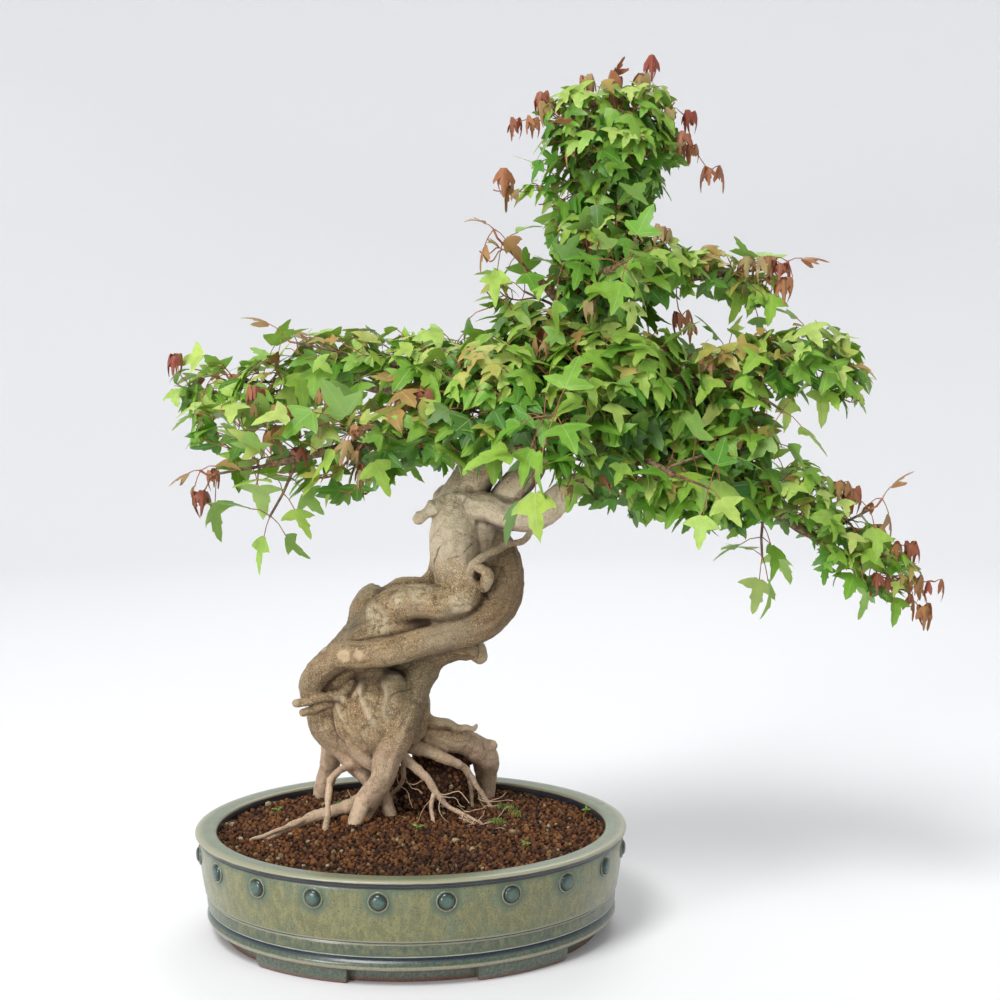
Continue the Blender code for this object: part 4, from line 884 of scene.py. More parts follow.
def paintedSkyShade(surface, verts, normals, edges):  # how much nearby sky each point and its neighbours see, less on faces turned down: painted shade for the bark
    turns = np.arange(wood["skyRays"])
    high = np.sqrt(1.0 - (turns + 0.5) / wood["skyRays"])
    flat = np.sqrt(1.0 - high ** 2)
    aims = [Vector((f * math.cos(2.4 * t), f * math.sin(2.4 * t), h)) for t, f, h in zip(turns, flat, high)]
    seen = np.zeros(len(verts))
    for i, (place, normal) in enumerate(zip(verts, normals)):
        start = place + normal * 0.0006
        across = normal.orthogonal().normalized()
        frameTurn = Matrix((across, normal.cross(across), normal)).transposed()
        free = sum(surface.ray_cast(start, frameTurn @ aim, wood["skyReach"])[0] is None for aim in aims)
        # faces turned down see less: painted shade under the wood
        seen[i] = free / len(aims) * (1.0 - 0.45 * max(0.0, -normal.z))
    for _ in range(2):
        total, count = seen.copy(), np.ones(len(seen))
        for first, second in ((0, 1), (1, 0)):
            np.add.at(total, edges[:, first], seen[edges[:, second]])
            np.add.at(count, edges[:, first], 1.0)
        seen = total / count
    return seen


def grainTable():  # points along the strands, with their direction, two cross directions and length so far
    rows = []
    for seed, points in enumerate([*strands.values(), *sideRoots.values(), *fills.values()]):
        route = smoothRoute(points, 6)
        across, length = None, 0.37 * seed
        for i, row in enumerate(route):
            tangent = Vector((route[min(i + 1, len(route) - 1)] - route[max(i - 1, 0)])[:3]).normalized()
            across = across or tangent.orthogonal().normalized()
            across = (across - tangent * across.dot(tangent)).normalized()
            rows.append((Vector(row[:3]), tangent, across, tangent.cross(across), length, row[3]))
            if i + 1 < len(route):
                length += Vector((route[i + 1] - row)[:3]).length
    return rows, finder([row[0] for row in rows])


def frontHit(tree, right, high):
    eye = Vector(photoView["place"])
    aim = (Vector((right, wood["markDepth"], high)) - eye).normalized()
    return tree.ray_cast(eye, aim)[0]


def markLines(tree, lines):  # the marks laid on the wood, as (place, depth, width)
    spots = []
    for depth, width, points in lines:
        route = smoothRoute([(*p, 0.0, 0.0) for p in points], 8)
        for i, row in enumerate(route):
            hit = frontHit(tree, row[0], row[1])
            if hit is not None:
                spots.append((hit, depth * min(1.0, 3.2 * min(i + 1, len(route) - i) / len(route)), width))
    return spots


def press(verts, normals, spots, sign, moved):  # raises or sinks the wood along the marks, and tells where
    tree = finder([spot[0] for spot in spots])
    mask = np.zeros(len(verts), np.float32)
    for i, place in enumerate(verts):
        _, near, distance = tree.find(place)
        _, depth, width = spots[near]
        if distance < width * 1.8:
            share = math.exp(-(distance / (width * 0.70)) ** 2)
            mask[i] = share * min(1.0, depth / 0.0009)
            moved[i] += normals[i] * (sign * depth * share)
    return mask


def makeWood():
    item = fusedWood()
    mesh = item.data
    hollow = hollowness(item)
    rows, grainTree = grainTable()
    verts = [v.co.copy() for v in mesh.vertices]
    normals = [Vector(n.vector) for n in mesh.vertex_normals]
    edges = np.array([e.vertices[:] for e in mesh.edges])
    bm = bmesh.new()
    bm.from_mesh(mesh)
    surface = BVHTree.FromBMesh(bm)
    bm.free()
    moved = [Vector() for _ in verts]
    grooves = press(verts, normals, markLines(surface, barkMarks["grooves"]), -1.0, moved)
    ridges = press(verts, normals, markLines(surface, barkMarks["ridges"]), 1.0, moved)
    scars, flakes = ([(frontHit(surface, x, z), size) for x, z, size in barkMarks[kind]]
                     for kind in ("scars", "flakes"))
    scar, flake, side, rise, along = (np.zeros(len(verts), np.float32) for _ in range(5))
    for i, place in enumerate(verts):
        _, near, _ = grainTree.find(place)
        centre, tangent, across, other, length, thick = rows[near]
        local = place - centre
        reach = max(math.hypot(local.dot(across), local.dot(other)), 0.0005)
        side[i], rise[i] = local.dot(across) / reach, local.dot(other) / reach
        along[i] = length + local.dot(tangent)
        coarse = min(1.0, thick / 0.012)
        fibre, thread, rings = (noise.noise((side[i] * wide, rise[i] * wide, along[i] * long))
                                for wide, long in wood["grains"])
        lumps = noise.noise(place * 48.0) + 0.5 * noise.noise(place * 105.0)
        swell = (wood["lumps"] * lumps + wood["grain"] * (fibre + 0.35 * thread)) * coarse
        swell += wood["fine"] * (noise.noise(place * 230.0) + 0.9 * max(rings, 0.0)) * min(1.0, thick / 0.006)
        for centre, size in scars:
            if centre is not None and (place - centre).length < size * 1.4:
                wobble = 1.0 + 0.35 * noise.noise(place * 300.0)
                inside = 1.0 - min(1.0, max(0.0, ((place - centre).length * wobble / size - 0.8) / 0.25))
                scar[i] = max(scar[i], inside)
                swell -= 0.0004 * inside
        for centre, size in flakes:
            if centre is not None and (place - centre).length < size * 1.3:
                inside = 1.0 - min(1.0, max(0.0, (place - centre).length / size - 0.55) / 0.6)
                flake[i] = max(flake[i], inside)
        moved[i] += normals[i] * swell
    # painted shade: darker where little sky reaches and under the wood
    shade = paintedSkyShade(surface, verts, normals, edges)
    flat = np.array([v + m for v, m in zip(verts, moved)], dtype=np.float32).ravel()
    mesh.vertices.foreach_set("co", flat)
    # hollow steers the bark's painted highlight on bulges and painted shade in hollows
    store(mesh, "hollow", np.clip(hollow / 0.0011, -1.0, 1.0) * 0.5 + 0.5)
    for name, values in {"groove": grooves, "ridge": ridges, "scar": scar, "flake": flake, "side": side,
                         "rise": rise, "along": along, "shade": shade}.items():
        store(mesh, name, values)
    mesh.materials.clear()
    mesh.materials.append(bark)
    mesh.shade_smooth()
    item.name = "trunkWood"
    print("wood is made,", triangles(item), "triangles")
    handOver(item, "tan_bark", "trunk")


def barkFinish():
    made, graph = newFinish("tanBark")
    spot = graph.place()
    x, _, z = graph.parts(spot)
    side, rise, along = graph.reads("side"), graph.reads("rise"), graph.reads("along")
    hollow, groove, shade, flake = (graph.reads(name) for name in ("hollow", "groove", "shade", "flake"))
    broad = graph.noise(24, 3.0, 0.55, spot)
    blots = graph.noise(150, 4.0, 0.65, spot)
    stipple = graph.noise(820, 3.0, 0.75, spot)
    fibre = graph.noise(1.0, 4.0, 0.62, graph.vector(side * 4.0, rise * 4.0, along * 26.0))
    thread = graph.noise(1.0, 3.0, 0.65, graph.vector(side * 13.0, rise * 13.0, along * 70.0))
    rings = graph.noise(1.0, 2.0, 0.6, graph.vector(side * 1.6, rise * 1.6, along * 520.0))
    warped = graph.add("ShaderNodeVectorMath", {"operation": "ADD"}, {
        0: spot, 1: graph.vector(blots * 0.006, broad * 0.006, blots * -0.006)})
    cells = graph.add("ShaderNodeTexVoronoi", {"feature": "DISTANCE_TO_EDGE"},
                      {"Vector": warped, "Scale": 150}, "Distance")
    crack = cells.below(0.01, 0.08)
    rust = graph.noise(34, 3.0, 0.6, spot).between(0.46, 0.66) * z.below(0.17, 0.30)
    mossy = (1 - abs(z - 0.195).between(0.012, 0.045)) * broad.between(0.35, 0.6) * x.between(-0.16, -0.12)
    grey = graph.noise(17, 2.0, 0.5, spot).between(0.50, 0.66) * z.between(0.17, 0.25)
    # pinkish-tan lower roots, made paler still: partly their own colour, partly painted light under the crown
    pink = z.below(0.115, 0.165) * (0.35 + 0.65 * blots.between(0.35, 0.6))
    middle = z.between(0.12, 0.16) * z.below(0.25, 0.29)
    # painted shade on the bulge, the side the light does not reach
    bulgeShade = x.between(-0.078, -0.034) * z.between(0.21, 0.25) * z.below(0.305, 0.335)
    # painted light on the neck, kept off the bulge
    neck = z.between(0.275, 0.315) * z.below(0.345, 0.375) * (1 - bulgeShade)
    skin = graph.layers(
        graph.mix(fibre.between(0.34, 0.66), "a48356", "cbb083"),
        (rust * 0.55, "9c7146"),
        (thread.between(0.48, 0.70) * 0.25, "8a6e49"),
        (thread.below(0.30, 0.44) * 0.22, "ddceb1"),
        (broad.between(0.44, 0.64) * 0.50, "8a7450"),
        (blots.between(0.50, 0.62) * 0.70, "6c502c"),
        (rings.between(0.56, 0.68) * (0.25 + 0.45 * z.below(0.14, 0.26)), "6d5537"),
        (stipple.between(0.54, 0.62) * (0.35 + 0.65 * broad.between(0.35, 0.60)), "553f22"),
        (stipple.below(0.36, 0.45) * 0.72, "f2e7d0"),
        (mossy * 0.45, "86866a"),
        (grey * 0.45, "98927f"),
        # pinkish-tan lower roots, partly their own colour and partly painted light
        (pink * 0.74, "e9c8ad"),
        (middle * 0.30, "6e5433"),
        # painted shade on the bulge
        (bulgeShade * 0.65, "6a4e2e"),
        # painted light on the neck
        (neck * (0.35 + 0.45 * blots.between(0.35, 0.6)), "ecdcc0"),
        (z.between(0.345, 0.43) * 0.80, graph.mix(blots.between(0.4, 0.6), "4d3a28", "77613f")),
        (flake * blots.between(0.38, 0.54) * 0.75, "e2d0ae"),
        (flake.between(0.55, 0.95) * crack * 0.22, "775c3c"),
        # painted highlight on the raised ridges
        (graph.reads("ridge") * 0.6, "dccbab"),
        # painted highlight on bulging wood, and painted shade in the hollows below
        (hollow.below(0.10, 0.44) * 0.50, "d9c8a8"),
        (hollow.between(0.54, 0.92) * 0.80, "4a331d"),
        # painted shade where little sky reaches and on faces turned down
        (shade.below(0.16, 0.78) * 0.92, "38240f"),
        # painted shade in the pressed grooves
        (groove.between(0.20, 0.85) * 0.78, "453016"),
        (graph.reads("scar") * 0.9, graph.mix(blots, "e0c8a4", "c8a884")))
    relief = stipple * 0.60 + blots * 0.55 + thread * 0.20 + rings * 0.30 + fibre * 0.2 - crack * flake * 0.25
    graph.surface(baseColor=skin, roughness=broad * 0.16 + 0.62, normal=graph.bump(relief, 1.0, 0.0020))
    return made


bark = barkFinish()
makeWood()

# Leaves: the model's own shoots first, then finer twigs that fill out each mass of leaves
leaves = {
    "thickness": 0.0007, "sizes": (0.82, 1.15), "widths": (0.92, 1.08), "room": 0.0004, "droop": (0.05, 1.00),
    "lean": 0.3, "faceUp": 0.8, "faceOut": 0.35, "jitter": 0.45, "stalkWidth": 0.0012,
    "stalkShares": (0.40, 0.70), "stalkFree": 0.004, "clearance": 0.0003, "stemThick": 0.0016,
    "stemThin": 0.0012, "stemFoot": 0.004, "stemRoom": 0.0009, "woodRoom": 0.0015, "halfNode": 0.001,
    "shootSpan": (0.30, 0.90), "shootSizes": (0.85, 1.10), "tipLength": 0.013,
    "tipLeaf": 0.021, "tipDroop": (0.7, 1.6), "tries": 14, "goldenAngle": 2.4,
    "middle": Vector((0.125, 0.020, 0.420))}


def ringFrames(centres, heading, spin):
    side = heading.cross(up).normalized()
    lift = side.cross(heading).normalized()
    guide = side * math.cos(spin) + lift * math.sin(spin)
    frames = []
    for i, centre in enumerate(centres):
        tangent = (centres[min(i + 1, len(centres) - 1)] - centres[max(i - 1, 0)]).normalized()
        across = (guide - tangent * guide.dot(tangent)).normalized()
        frames.append((centre, tangent, across, tangent.cross(across)))
    return frames


def stemRings(foot, outward, heading, length, spin, pairs):
    half = leaves["halfNode"]
    bend = foot + outward * leaves["stemFoot"]
    step = (length - leaves["stemFoot"]) / 2
    first = (outward * 0.35 + heading).normalized()
    second = (first * 0.35 + heading - up * 0.06).normalized()
    middle = bend + first * step
    end = middle + second * step
    centres = [foot, bend]
    if pairs == 3:
        near = bend.lerp(middle, 0.35)
        centres += [near - first * half, near + first * half]
    centres += [middle - first * half, middle + second * half, end - second * 2 * half, end]
    return ringFrames(centres, heading, spin)


def stemRadius(i, count):
    return leaves["stemThick"] + (leaves["stemThin"] - leaves["stemThick"]) * i / (count - 1)


def leafSites(frames):
    last = len(frames) - 1
    sites = []
    for low, sides in ((last - 5, (0, 2)), (last - 3, (3, 1)), (last - 1, (0, 2))):
        if low < 2 and low != last - 1:
            continue
        here, there = frames[low], frames[low + 1]
        middle = (here[0] + there[0]) / 2
        reach = (stemRadius(low, last + 1) + stemRadius(low + 1, last + 1)) / 2 * math.sqrt(0.5)
        pulls = (here[3], -here[2], -here[3], here[2])
        for side in sides:
            sites.append((low, middle + pulls[side] * reach, pulls[side]))
    sites.append((last, frames[last][0], frames[last][1]))
    return sites


def bladeRoom(leaf):
    length = leaf["length"]
    width = length * leaf["width"]
    right = [(leaves["stalkWidth"] / 2, 0.0), (width * 0.53, length * 0.46), (width * 0.20, length * 0.51)]
    outline = right + [(0.0, length)] + [(-x, y) for x, y in reversed(right)]
    across = leaf["along"].cross(leaf["normal"])
    base = leaf["root"] + leaf["along"] * leaf["petiole"]
    half = leaf["normal"] * (leaves["thickness"] / 2 + leaves["room"])
    flat = [base + across * x + leaf["along"] * y for x, y in outline]
    upper, lower = [p + half for p in flat], [p - half for p in flat]
    back = leaf["along"] * (leaf["petiole"] - leaves["stalkFree"])
    stalkEnd = [upper[0] - back, upper[-1] - back, lower[-1] - back, lower[0] - back]
    verts = upper + lower + stalkEnd
    count = len(upper)
    faces = [list(range(count)), list(range(2 * count - 1, count - 1, -1))]
    for k in range(count - 1):
        faces.append([k, k + count, k + 1 + count, k + 1])
    ring = (0, count - 1, 2 * count - 1, count)
    for k in range(4):
        after = (k + 1) % 4
        faces.append([ring[k], ring[after], 2 * count + after, 2 * count + k])
    return BVHTree.FromPolygons(verts, faces)


def tubeRoom(route, sides, swell):
    bm = bmesh.new()
    addTube(bm, route, sides, swell)
    tree = BVHTree.FromBMesh(bm)
    bm.free()
    return tree


def stemRoom(frames, swell):
    route = [(*row[0], stemRadius(i, len(frames))) for i, row in enumerate(frames)]
    return tubeRoom(route[1:], 4, swell)


class Canopy:  # what the leaves and shoots must stay clear of
    def __init__(self):
        self.taken = []

    def add(self, centre, reach, tree, owner):
        self.taken.append((centre, reach, tree, owner))

    def addRoute(self, route, sides, swell, owner):
        for first in range(0, len(route) - 1, 2):
            part = route[first:first + 3]
            middle = Vector(part[len(part) // 2][:3])
            reach = max((Vector(p[:3]) - middle).length + p[3] + swell for p in part)
            self.add(middle, reach, tubeRoom(part, sides, swell), owner)

    def free(self, centre, reach, tree, owner):
        for other, otherReach, otherTree, otherOwner in self.taken:
            close = (other - centre).length <= reach + otherReach
            if otherOwner != owner and close and tree.overlap(otherTree):
                return False
        return True


def planShoots(canopy):
    shoots = []
    for name, (points, count, reach, leaf, liftBy, rise, pairs, redTips) in branches.items():
        route = smoothRoute(points, 1)
        rng = random.Random(name)
        low, high = leaves["shootSpan"]
        for n in range(count + 1):
            atEnd = n == count
            share = 1.0 if atEnd else low + (high - low) * n / max(count - 1, 1)
            spot = share * (len(route) - 1)
            i = min(int(spot), len(route) - 2)
            here = route[i].lerp(route[i + 1], spot - i)
            tangent = Vector((route[i + 1] - route[i])[:3]).normalized()
            side = tangent.cross(up).normalized()
            lift = side.cross(tangent).normalized()
            for attempt in range(leaves["tries"]):
                turn = leaves["goldenAngle"] * n + rng.uniform(-0.4, 0.4) + 0.45 * attempt
                outward = (side * math.cos(turn) + lift * math.sin(turn) * rise).normalized()
                if atEnd:
                    outward = tangent
                heading = (outward * 0.75 + tangent * 0.6 + up * liftBy).normalized()
                gap = leaves["clearance"] if atEnd else here[3] + leaves["clearance"]
                foot = Vector(here[:3]) + outward * gap
                length = reach * rng.uniform(*leaves["shootSizes"])
                frames = stemRings(foot, outward, heading, length, rng.uniform(0.2, 0.9), pairs)
                tree = stemRoom(frames, leaves["stemRoom"])
                middle = frames[2][0]
                if canopy.free(middle, length, tree, name):
                    break
            else:
                continue
            label = f"{name}_{n + 1}"
            shoots.append({"name": label, "branch": name, "frames": frames, "leaf": leaf,
                           "tip": n in redTips})
            canopy.add(middle, length, tree, label)
    return shoots


def tryLeaf(site, size, droop, rng):
    ring, root, pull = site
    lean = scatter(rng, leaves["lean"])
    sag = rng.uniform(*droop) * (1.0 - 0.85 * max(pull.z, 0.0))
    along = (pull + lean - up * sag).normalized()
    away = root - leaves["middle"]
    away.z *= 0.4
    face = up * leaves["faceUp"] + away.normalized() * leaves["faceOut"] + scatter(rng, leaves["jitter"])
    normal = (face - along * face.dot(along)).normalized()
    length = size * rng.uniform(*leaves["sizes"])
    petiole = length * rng.uniform(*leaves["stalkShares"])
    return {"ring": ring, "root": root, "base": root + along * petiole, "along": along, "normal": normal,
            "length": length, "petiole": petiole, "width": rng.uniform(*leaves["widths"])}


def placeLeaves(name, frames, size, droop, skipEnd, canopy):
    rng = random.Random(name)
    placed = []
    last = len(frames) - 1
    for site in leafSites(frames):
        if skipEnd and site[0] == last:
            continue
        for _ in range(leaves["tries"]):
            leaf = tryLeaf(site, size, droop, rng)
            tree = bladeRoom(leaf)
            reach = (leaf["petiole"] + leaf["length"]) / 2
            centre = leaf["root"] + leaf["along"] * reach
            if canopy.free(centre, reach * 1.1, tree, name):
                canopy.add(centre, reach * 1.1, tree, name + "_leaf")
                placed.append(leaf)
                break
    return placed


def tipFrames(shoot):
    end, tangent, _, _ = shoot["frames"][-1]
    heading = (tangent + up * 0.8).normalized()
    foot = end + tangent * leaves["clearance"]
    middle = foot + tangent * leaves["tipLength"] * 0.4
    top = middle + heading * leaves["tipLength"] * 0.6
    return ringFrames([foot, middle, top - heading * 2 * leaves["halfNode"], top], heading, 0.4)


def regionOf(branch):
    if branch.startswith(("tier", "upper")):
        return "top"
    return branch.split("_")[0]


def modelShoots():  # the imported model's own shoots, as twigs and leaves
    canopy = Canopy()
    for points in strands.values():
        canopy.addRoute(smoothRoute(points, 2), 10, leaves["woodRoom"], "wood")
    for name, branch in branches.items():
        canopy.addRoute(smoothRoute(branch[0], 1), 6, leaves["stemRoom"], name)
    shoots = planShoots(canopy)
    paths, grown = [], []
    for shoot in shoots:
        if shoot["tip"]:
            frames = tipFrames(shoot)
            name = "tip_" + shoot["name"]
            canopy.add(frames[1][0], leaves["tipLength"], stemRoom(frames, leaves["stemRoom"]), name)
            placed = placeLeaves(name, frames, leaves["tipLeaf"], leaves["tipDroop"], False, canopy)
            paths.append([(row[0], 0.0009, 0.9) for row in frames])
            grown += [{**leaf, "region": "red", "node": name, "young": 1.0} for leaf in placed]
    for shoot in shoots:
        name, frames = shoot["name"], shoot["frames"]
        placed = placeLeaves(name, frames, shoot["leaf"], leaves["droop"], shoot["tip"], canopy)
        count = len(frames)
        foot, flow = frames[0][:2]
        path = [(foot - flow * 0.003, 0.0016, 0.0)]
        path += [(row[0], stemRadius(i, count) * 0.85, 0.5 * i / count) for i, row in enumerate(frames)]
        paths.append(path)
        region = regionOf(shoot["branch"])
        grown += [{**leaf, "region": region, "node": "spray_" + name,
                   "young": 0.20 * (leaf["ring"] == count - 1)} for leaf in placed]
    return shoots, paths, grown


shoots, twigPaths, grownLeaves = modelShoots()
print("model's shoots", len(shoots), "leaves", len(grownLeaves))

pads = metres({  # masses of leaves: middle, half sizes across, deep and high, then how long a leaf is
    "left": (((-180, 95, 435), (41, 28, 27), 28), ((-110, 85, 438), (53, 32, 27), 29),
        ((-56, 45, 463), (53, 38, 23), 28), ((15, 35, 459), (47, 45, 28), 28),
        ((-158, -10, 410), (30, 28, 20), 32), ((-110, -40, 374), (34, 26, 18), 34),
        ((-132, -45, 407), (39, 26, 26), 33), ((-74, -35, 405), (48, 38, 28), 34),
        ((-50, -28, 367), (41, 28, 22), 33), ((-3, -15, 409), (49, 45, 33), 33),
        ((37, -32, 398), (39, 28, 25), 33)),
    "centre": (((72, -28, 441), (53, 42, 39), 31), ((118, -50, 415), (58, 36, 38), 33),
        ((166, -20, 446), (61, 48, 45), 30), ((120, 30, 468), (65, 58, 34), 28),
        ((123, 100, 424), (75, 32, 47), 30), ((213, 10, 410), (46, 48, 40), 30),
        ((223, 90, 425), (52, 38, 45), 30), ((153, -45, 367), (40, 28, 25), 31),
        ((199, -8, 352), (38, 34, 24), 29)),
    "right": (((263, 0, 450), (40, 40, 25), 29), ((311, -5, 464), (44, 34, 25), 29),
        ((346, -5, 440), (24, 28, 24), 29), ((255, 0, 396), (37, 40, 24), 29),
        ((226, 4, 368), (36, 34, 24), 29), ((330, 0, 335), (30, 26, 22), 26),
        ((368, 0, 300), (26, 22, 18), 24), ((250, 0, 347), (40, 34, 27), 28),
        ((304, 0, 355), (32, 30, 26), 27), ((346, 0, 312), (32, 26, 27), 26),
        ((387, 0, 285), (24, 20, 17), 22)),
    "top": (((151, 0, 554), (45, 42, 28), 25), ((181, -15, 529), (45, 36, 28), 26),
        ((144, 20, 517), (36, 38, 25), 26), ((231, 8, 531), (36, 28, 17), 24),
        ((270, 5, 517), (30, 24, 19), 23), ((78, -5, 593), (17, 14, 11), 24),
        ((62, -2, 546), (12, 12, 13), 22), ((70, 8, 507), (19, 22, 17), 24),
        ((110, 4, 590), (18, 18, 22), 23), ((160, 66, 541), (40, 24, 30), 25),
        ((146, 0, 650), (45, 40, 24), 23), ((160, 0, 623), (60, 46, 28), 25),
        ((164, 5, 592), (41, 38, 23), 25), ((181, 0, 659), (34, 28, 15), 22)),
})
youngTips = (  # shoot ends whose young leaves hang closed, and a shade from red, 0, over orange to tan, 100
    (-204, 95, 461, 10), (-117, -40, 437, 10), (-122, -45, 424, 80), (-97, -42, 422, 70),
    (-159, -50, 358, 15), (-149, -48, 374, 20), (11, -30, 436, 12), (-5, -32, 428, 75),
    (-63, -38, 436, 50), (-67, -40, 420, 80), (-85, -40, 390, 10), (-40, -40, 389, 80),
    (-34, -42, 375, 85), (-105, -45, 405, 50), (108, -12, 483, 12), (105, -20, 473, 85),
    (221, -15, 487, 80), (215, -10, 495, 20), (123, -58, 364, 90), (156, -50, 373, 40),
    (99, -55, 399, 85), (233, -25, 461, 70), (190, 0, 692, 5), (182, -5, 679, 90), (162, -5, 679, 8),
    (139, -5, 679, 60), (134, -15, 665, 15), (105, 0, 667, 10), (107, -8, 658, 85), (83, 0, 646, 10),
    (97, -5, 647, 50), (220, 0, 651, 8), (216, -8, 635, 20), (222, 0, 626, 50), (204, -12, 652, 85),
    (238, 0, 609, 40), (75, -5, 604, 30), (83, -8, 592, 90), (198, -18, 561, 80), (146, -30, 562, 10),
    (143, -32, 556, 15), (294, 0, 535, 8), (281, -6, 538, 75), (266, -8, 537, 90), (295, 0, 521, 35),
    (141, -35, 503, 80), (343, -5, 361, 50), (354, 0, 355, 30), (375, -5, 327, 80), (390, -3, 312, 30),
    (403, 0, 310, 20), (375, -10, 287, 25), (405, -5, 283, 60), (422, 0, 282, 8), (414, 0, 259, 55))
twigs = {"spacing": {"left": 0.56, "centre": 0.50, "right": 0.50, "top": 0.54}, "core": 0.82,
         "spill": {"left": 1.15, "centre": 1.12, "right": 1.50, "top": 1.18}, "seed": 7, "thin": 0.0006,
         "sag": {"left": (-0.05, 0.80), "centre": (0.10, 1.25), "right": (0.05, 1.10), "top": (0.15, 1.30)},
         "pairGap": 0.012, "margin": 0.010, "tries": 9, "lean": 0.38, "jitter": 0.38, "sizes": (0.74, 1.16),
         "perVolume": 2.4e6, "stalkShares": (0.35, 0.80), "redLeaf": 0.0205, "twoPairs": 0.6, "endLeaf": 0.40,
         "wander": 0.0016, "leaving": 0.38, "arriving": 0.34}
masses = [(Vector(middle), half) for rows in pads.values() for middle, half, _ in rows]


def inMass(place, slack):
    return any(sum(((p - m) / h) ** 2 for p, m, h in zip(place, middle, half)) < slack
               for middle, half in masses)


def twigTips():  # places for twig ends, spread through the masses and denser toward their skins
    rng = random.Random(twigs["seed"])
    tips = [{"place": Vector(metres(spot)), "region": "red", "leaf": twigs["redLeaf"], "young": shade / 100}
            for *spot, shade in youngTips]
    for region, rows in pads.items():
        for middle, half, leaf in rows:
            count = int(math.pi * 4 / 3 * half[0] * half[1] * half[2] * twigs["perVolume"]) + 6
            for _ in range(count * 9):
                aim = Vector([rng.gauss(0, 1) for _ in range(3)]).normalized()
                reach = twigs["core"] * rng.random() ** 0.30
                place = Vector([m + a * reach * h for m, a, h in zip(middle, aim, half)])
                if all((place - tip["place"]).length > twigs["spacing"][region] * leaf for tip in tips):
                    tips.append({"place": place, "region": region, "leaf": leaf, "out": aim, "reach": reach})
                    count -= 1
                if count <= 0:
                    break
    return tips


def skeleton():
    nodes = []
    for points in [b[0] for b in branches.values()] + [strands["leader"]]:
        route = smoothRoute(points, 5)
        for here, there in zip(route, route[1:]):
            nodes.append((Vector(here[:3]), Vector((there - here)[:3]).normalized(), here[3]))
    for shoot in shoots:
        for here, there in zip(shoot["frames"][1:], shoot["frames"][2:]):
            nodes.append((here[0], here[1], 0.0014))
    return nodes


def growTwigs():
    rng = random.Random(twigs["seed"] + 1)
    nodes = skeleton()
    places = np.array([n[0] for n in nodes])
    facing = np.array([n[1] for n in nodes])
    tips = twigTips()
    tips.sort(key=lambda tip: np.linalg.norm(places - np.array(tip["place"]), axis=1).min())
    paths, placed = [], []
    for tip in tips:
        toTip = np.array(tip["place"]) - places
        far = np.linalg.norm(toTip, axis=1) + 1e-9
        turn = (toTip * facing).sum(axis=1) / far
        best = int(np.argmin(far * (1.35 - 0.45 * turn) + 0.004))
        start, flow, thick = nodes[best]
        gap = float(far[best])
        outward = tip["place"] - leaves["middle"]
        outward.z *= 0.5
        way = (tip["place"] - start).normalized()
        ending = (way + outward.normalized() * 0.5 + up * 0.15).normalized()
        leave = (flow * 0.7 + way + up * 0.25).normalized()
        first = start + leave * gap * twigs["leaving"]
        second = tip["place"] - ending * gap * twigs["arriving"]
        steps = max(4, int(gap / 0.008))
        radius = min(thick * 0.75, twigs["thin"] + 0.010 * gap)
        rows, before = [], None
        for k in range(steps + 1):
            t = k / steps
            here = (start * (1 - t) ** 3 + first * 3 * t * (1 - t) ** 2 + second * 3 * t ** 2 * (1 - t)
                    + tip["place"] * t ** 3)
            here += noise.noise_vector(here * 60.0) * twigs["wander"] * math.sin(math.pi * t)
            rows.append((here, radius + (twigs["thin"] - radius) * t, 0.25 + 0.6 * t))
            if before is not None and t > 0.3:
                heading = (here - before).normalized()
                nodes.append((here, heading, radius))
                places = np.vstack([places, np.array(here)])
                facing = np.vstack([facing, np.array(heading)])
            before = here
        paths.append(rows)
        placed += closedLeaves(rows, tip, rng) if "young" in tip else twigLeaves(rows, tip, rng)
    return paths, placed


def leafAt(root, stalk, along, face, length, petiole, young, tip):
    normal = (face - along * face.dot(along)).normalized()
    return {"root": root, "base": root + stalk * petiole, "along": along, "normal": normal, "length": length,
            "petiole": petiole, "region": tip["region"], "node": "", "young": young,
            "upper": tip["out"].z * 1.2 if "out" in tip else 0.2}


def hangingLeaf(root, pull, tip, size, young, rng):  # tries postures until the blade stays in its mass
    out = tip["out"]
    for _ in range(twigs["tries"]):
        lean = scatter(rng, twigs["lean"])
        flat = (Vector((pull.x, pull.y, pull.z * 0.4)) + out * 0.35 + lean).normalized()
        along = (flat - up * rng.uniform(*twigs["sag"][tip["region"]])).normalized()
        stalk = (flat + up * rng.uniform(-0.25, 0.45)).normalized()
        jitter = scatter(rng, twigs["jitter"])
        length = size * rng.uniform(*twigs["sizes"])
        petiole = length * rng.uniform(*twigs["stalkShares"])
        leaf = leafAt(root, stalk, along, up * 0.60 + out * 0.60 + jitter, length, petiole, young, tip)
        blade = leaf["base"] + along * length * 0.85
        if inMass(blade, twigs["spill"][tip["region"]]) and insideModel(leaf):
            return [leaf]
    return []


def closedLeaves(rows, tip, rng):  # young leaves, hanging like closed umbrellas round the shoot's end
    end, placed = rows[-1][0], []
    count = rng.choice((2, 3, 3, 4))
    start = rng.uniform(0.0, math.tau)
    for n in range(count):
        angle = start + math.tau * n / count + rng.uniform(-0.4, 0.4)
        side = Vector((math.cos(angle), math.sin(angle), 0.0))
        along = (side * rng.uniform(0.15, 0.75) - up).normalized()
        stalk = (side + up * rng.uniform(0.1, 0.9)).normalized()
        length = tip["leaf"] * rng.uniform(0.62, 1.15)
        shade = min(1.0, max(0.0, tip["young"] + rng.uniform(-0.20, 0.28)))
        leaf = leafAt(end, stalk, along, side + up * 0.4, length, length * 0.35, 1.0, tip)
        placed.append({**leaf, "tone": shade, "shape": rng.choice((6, 7, 7))})
    return placed


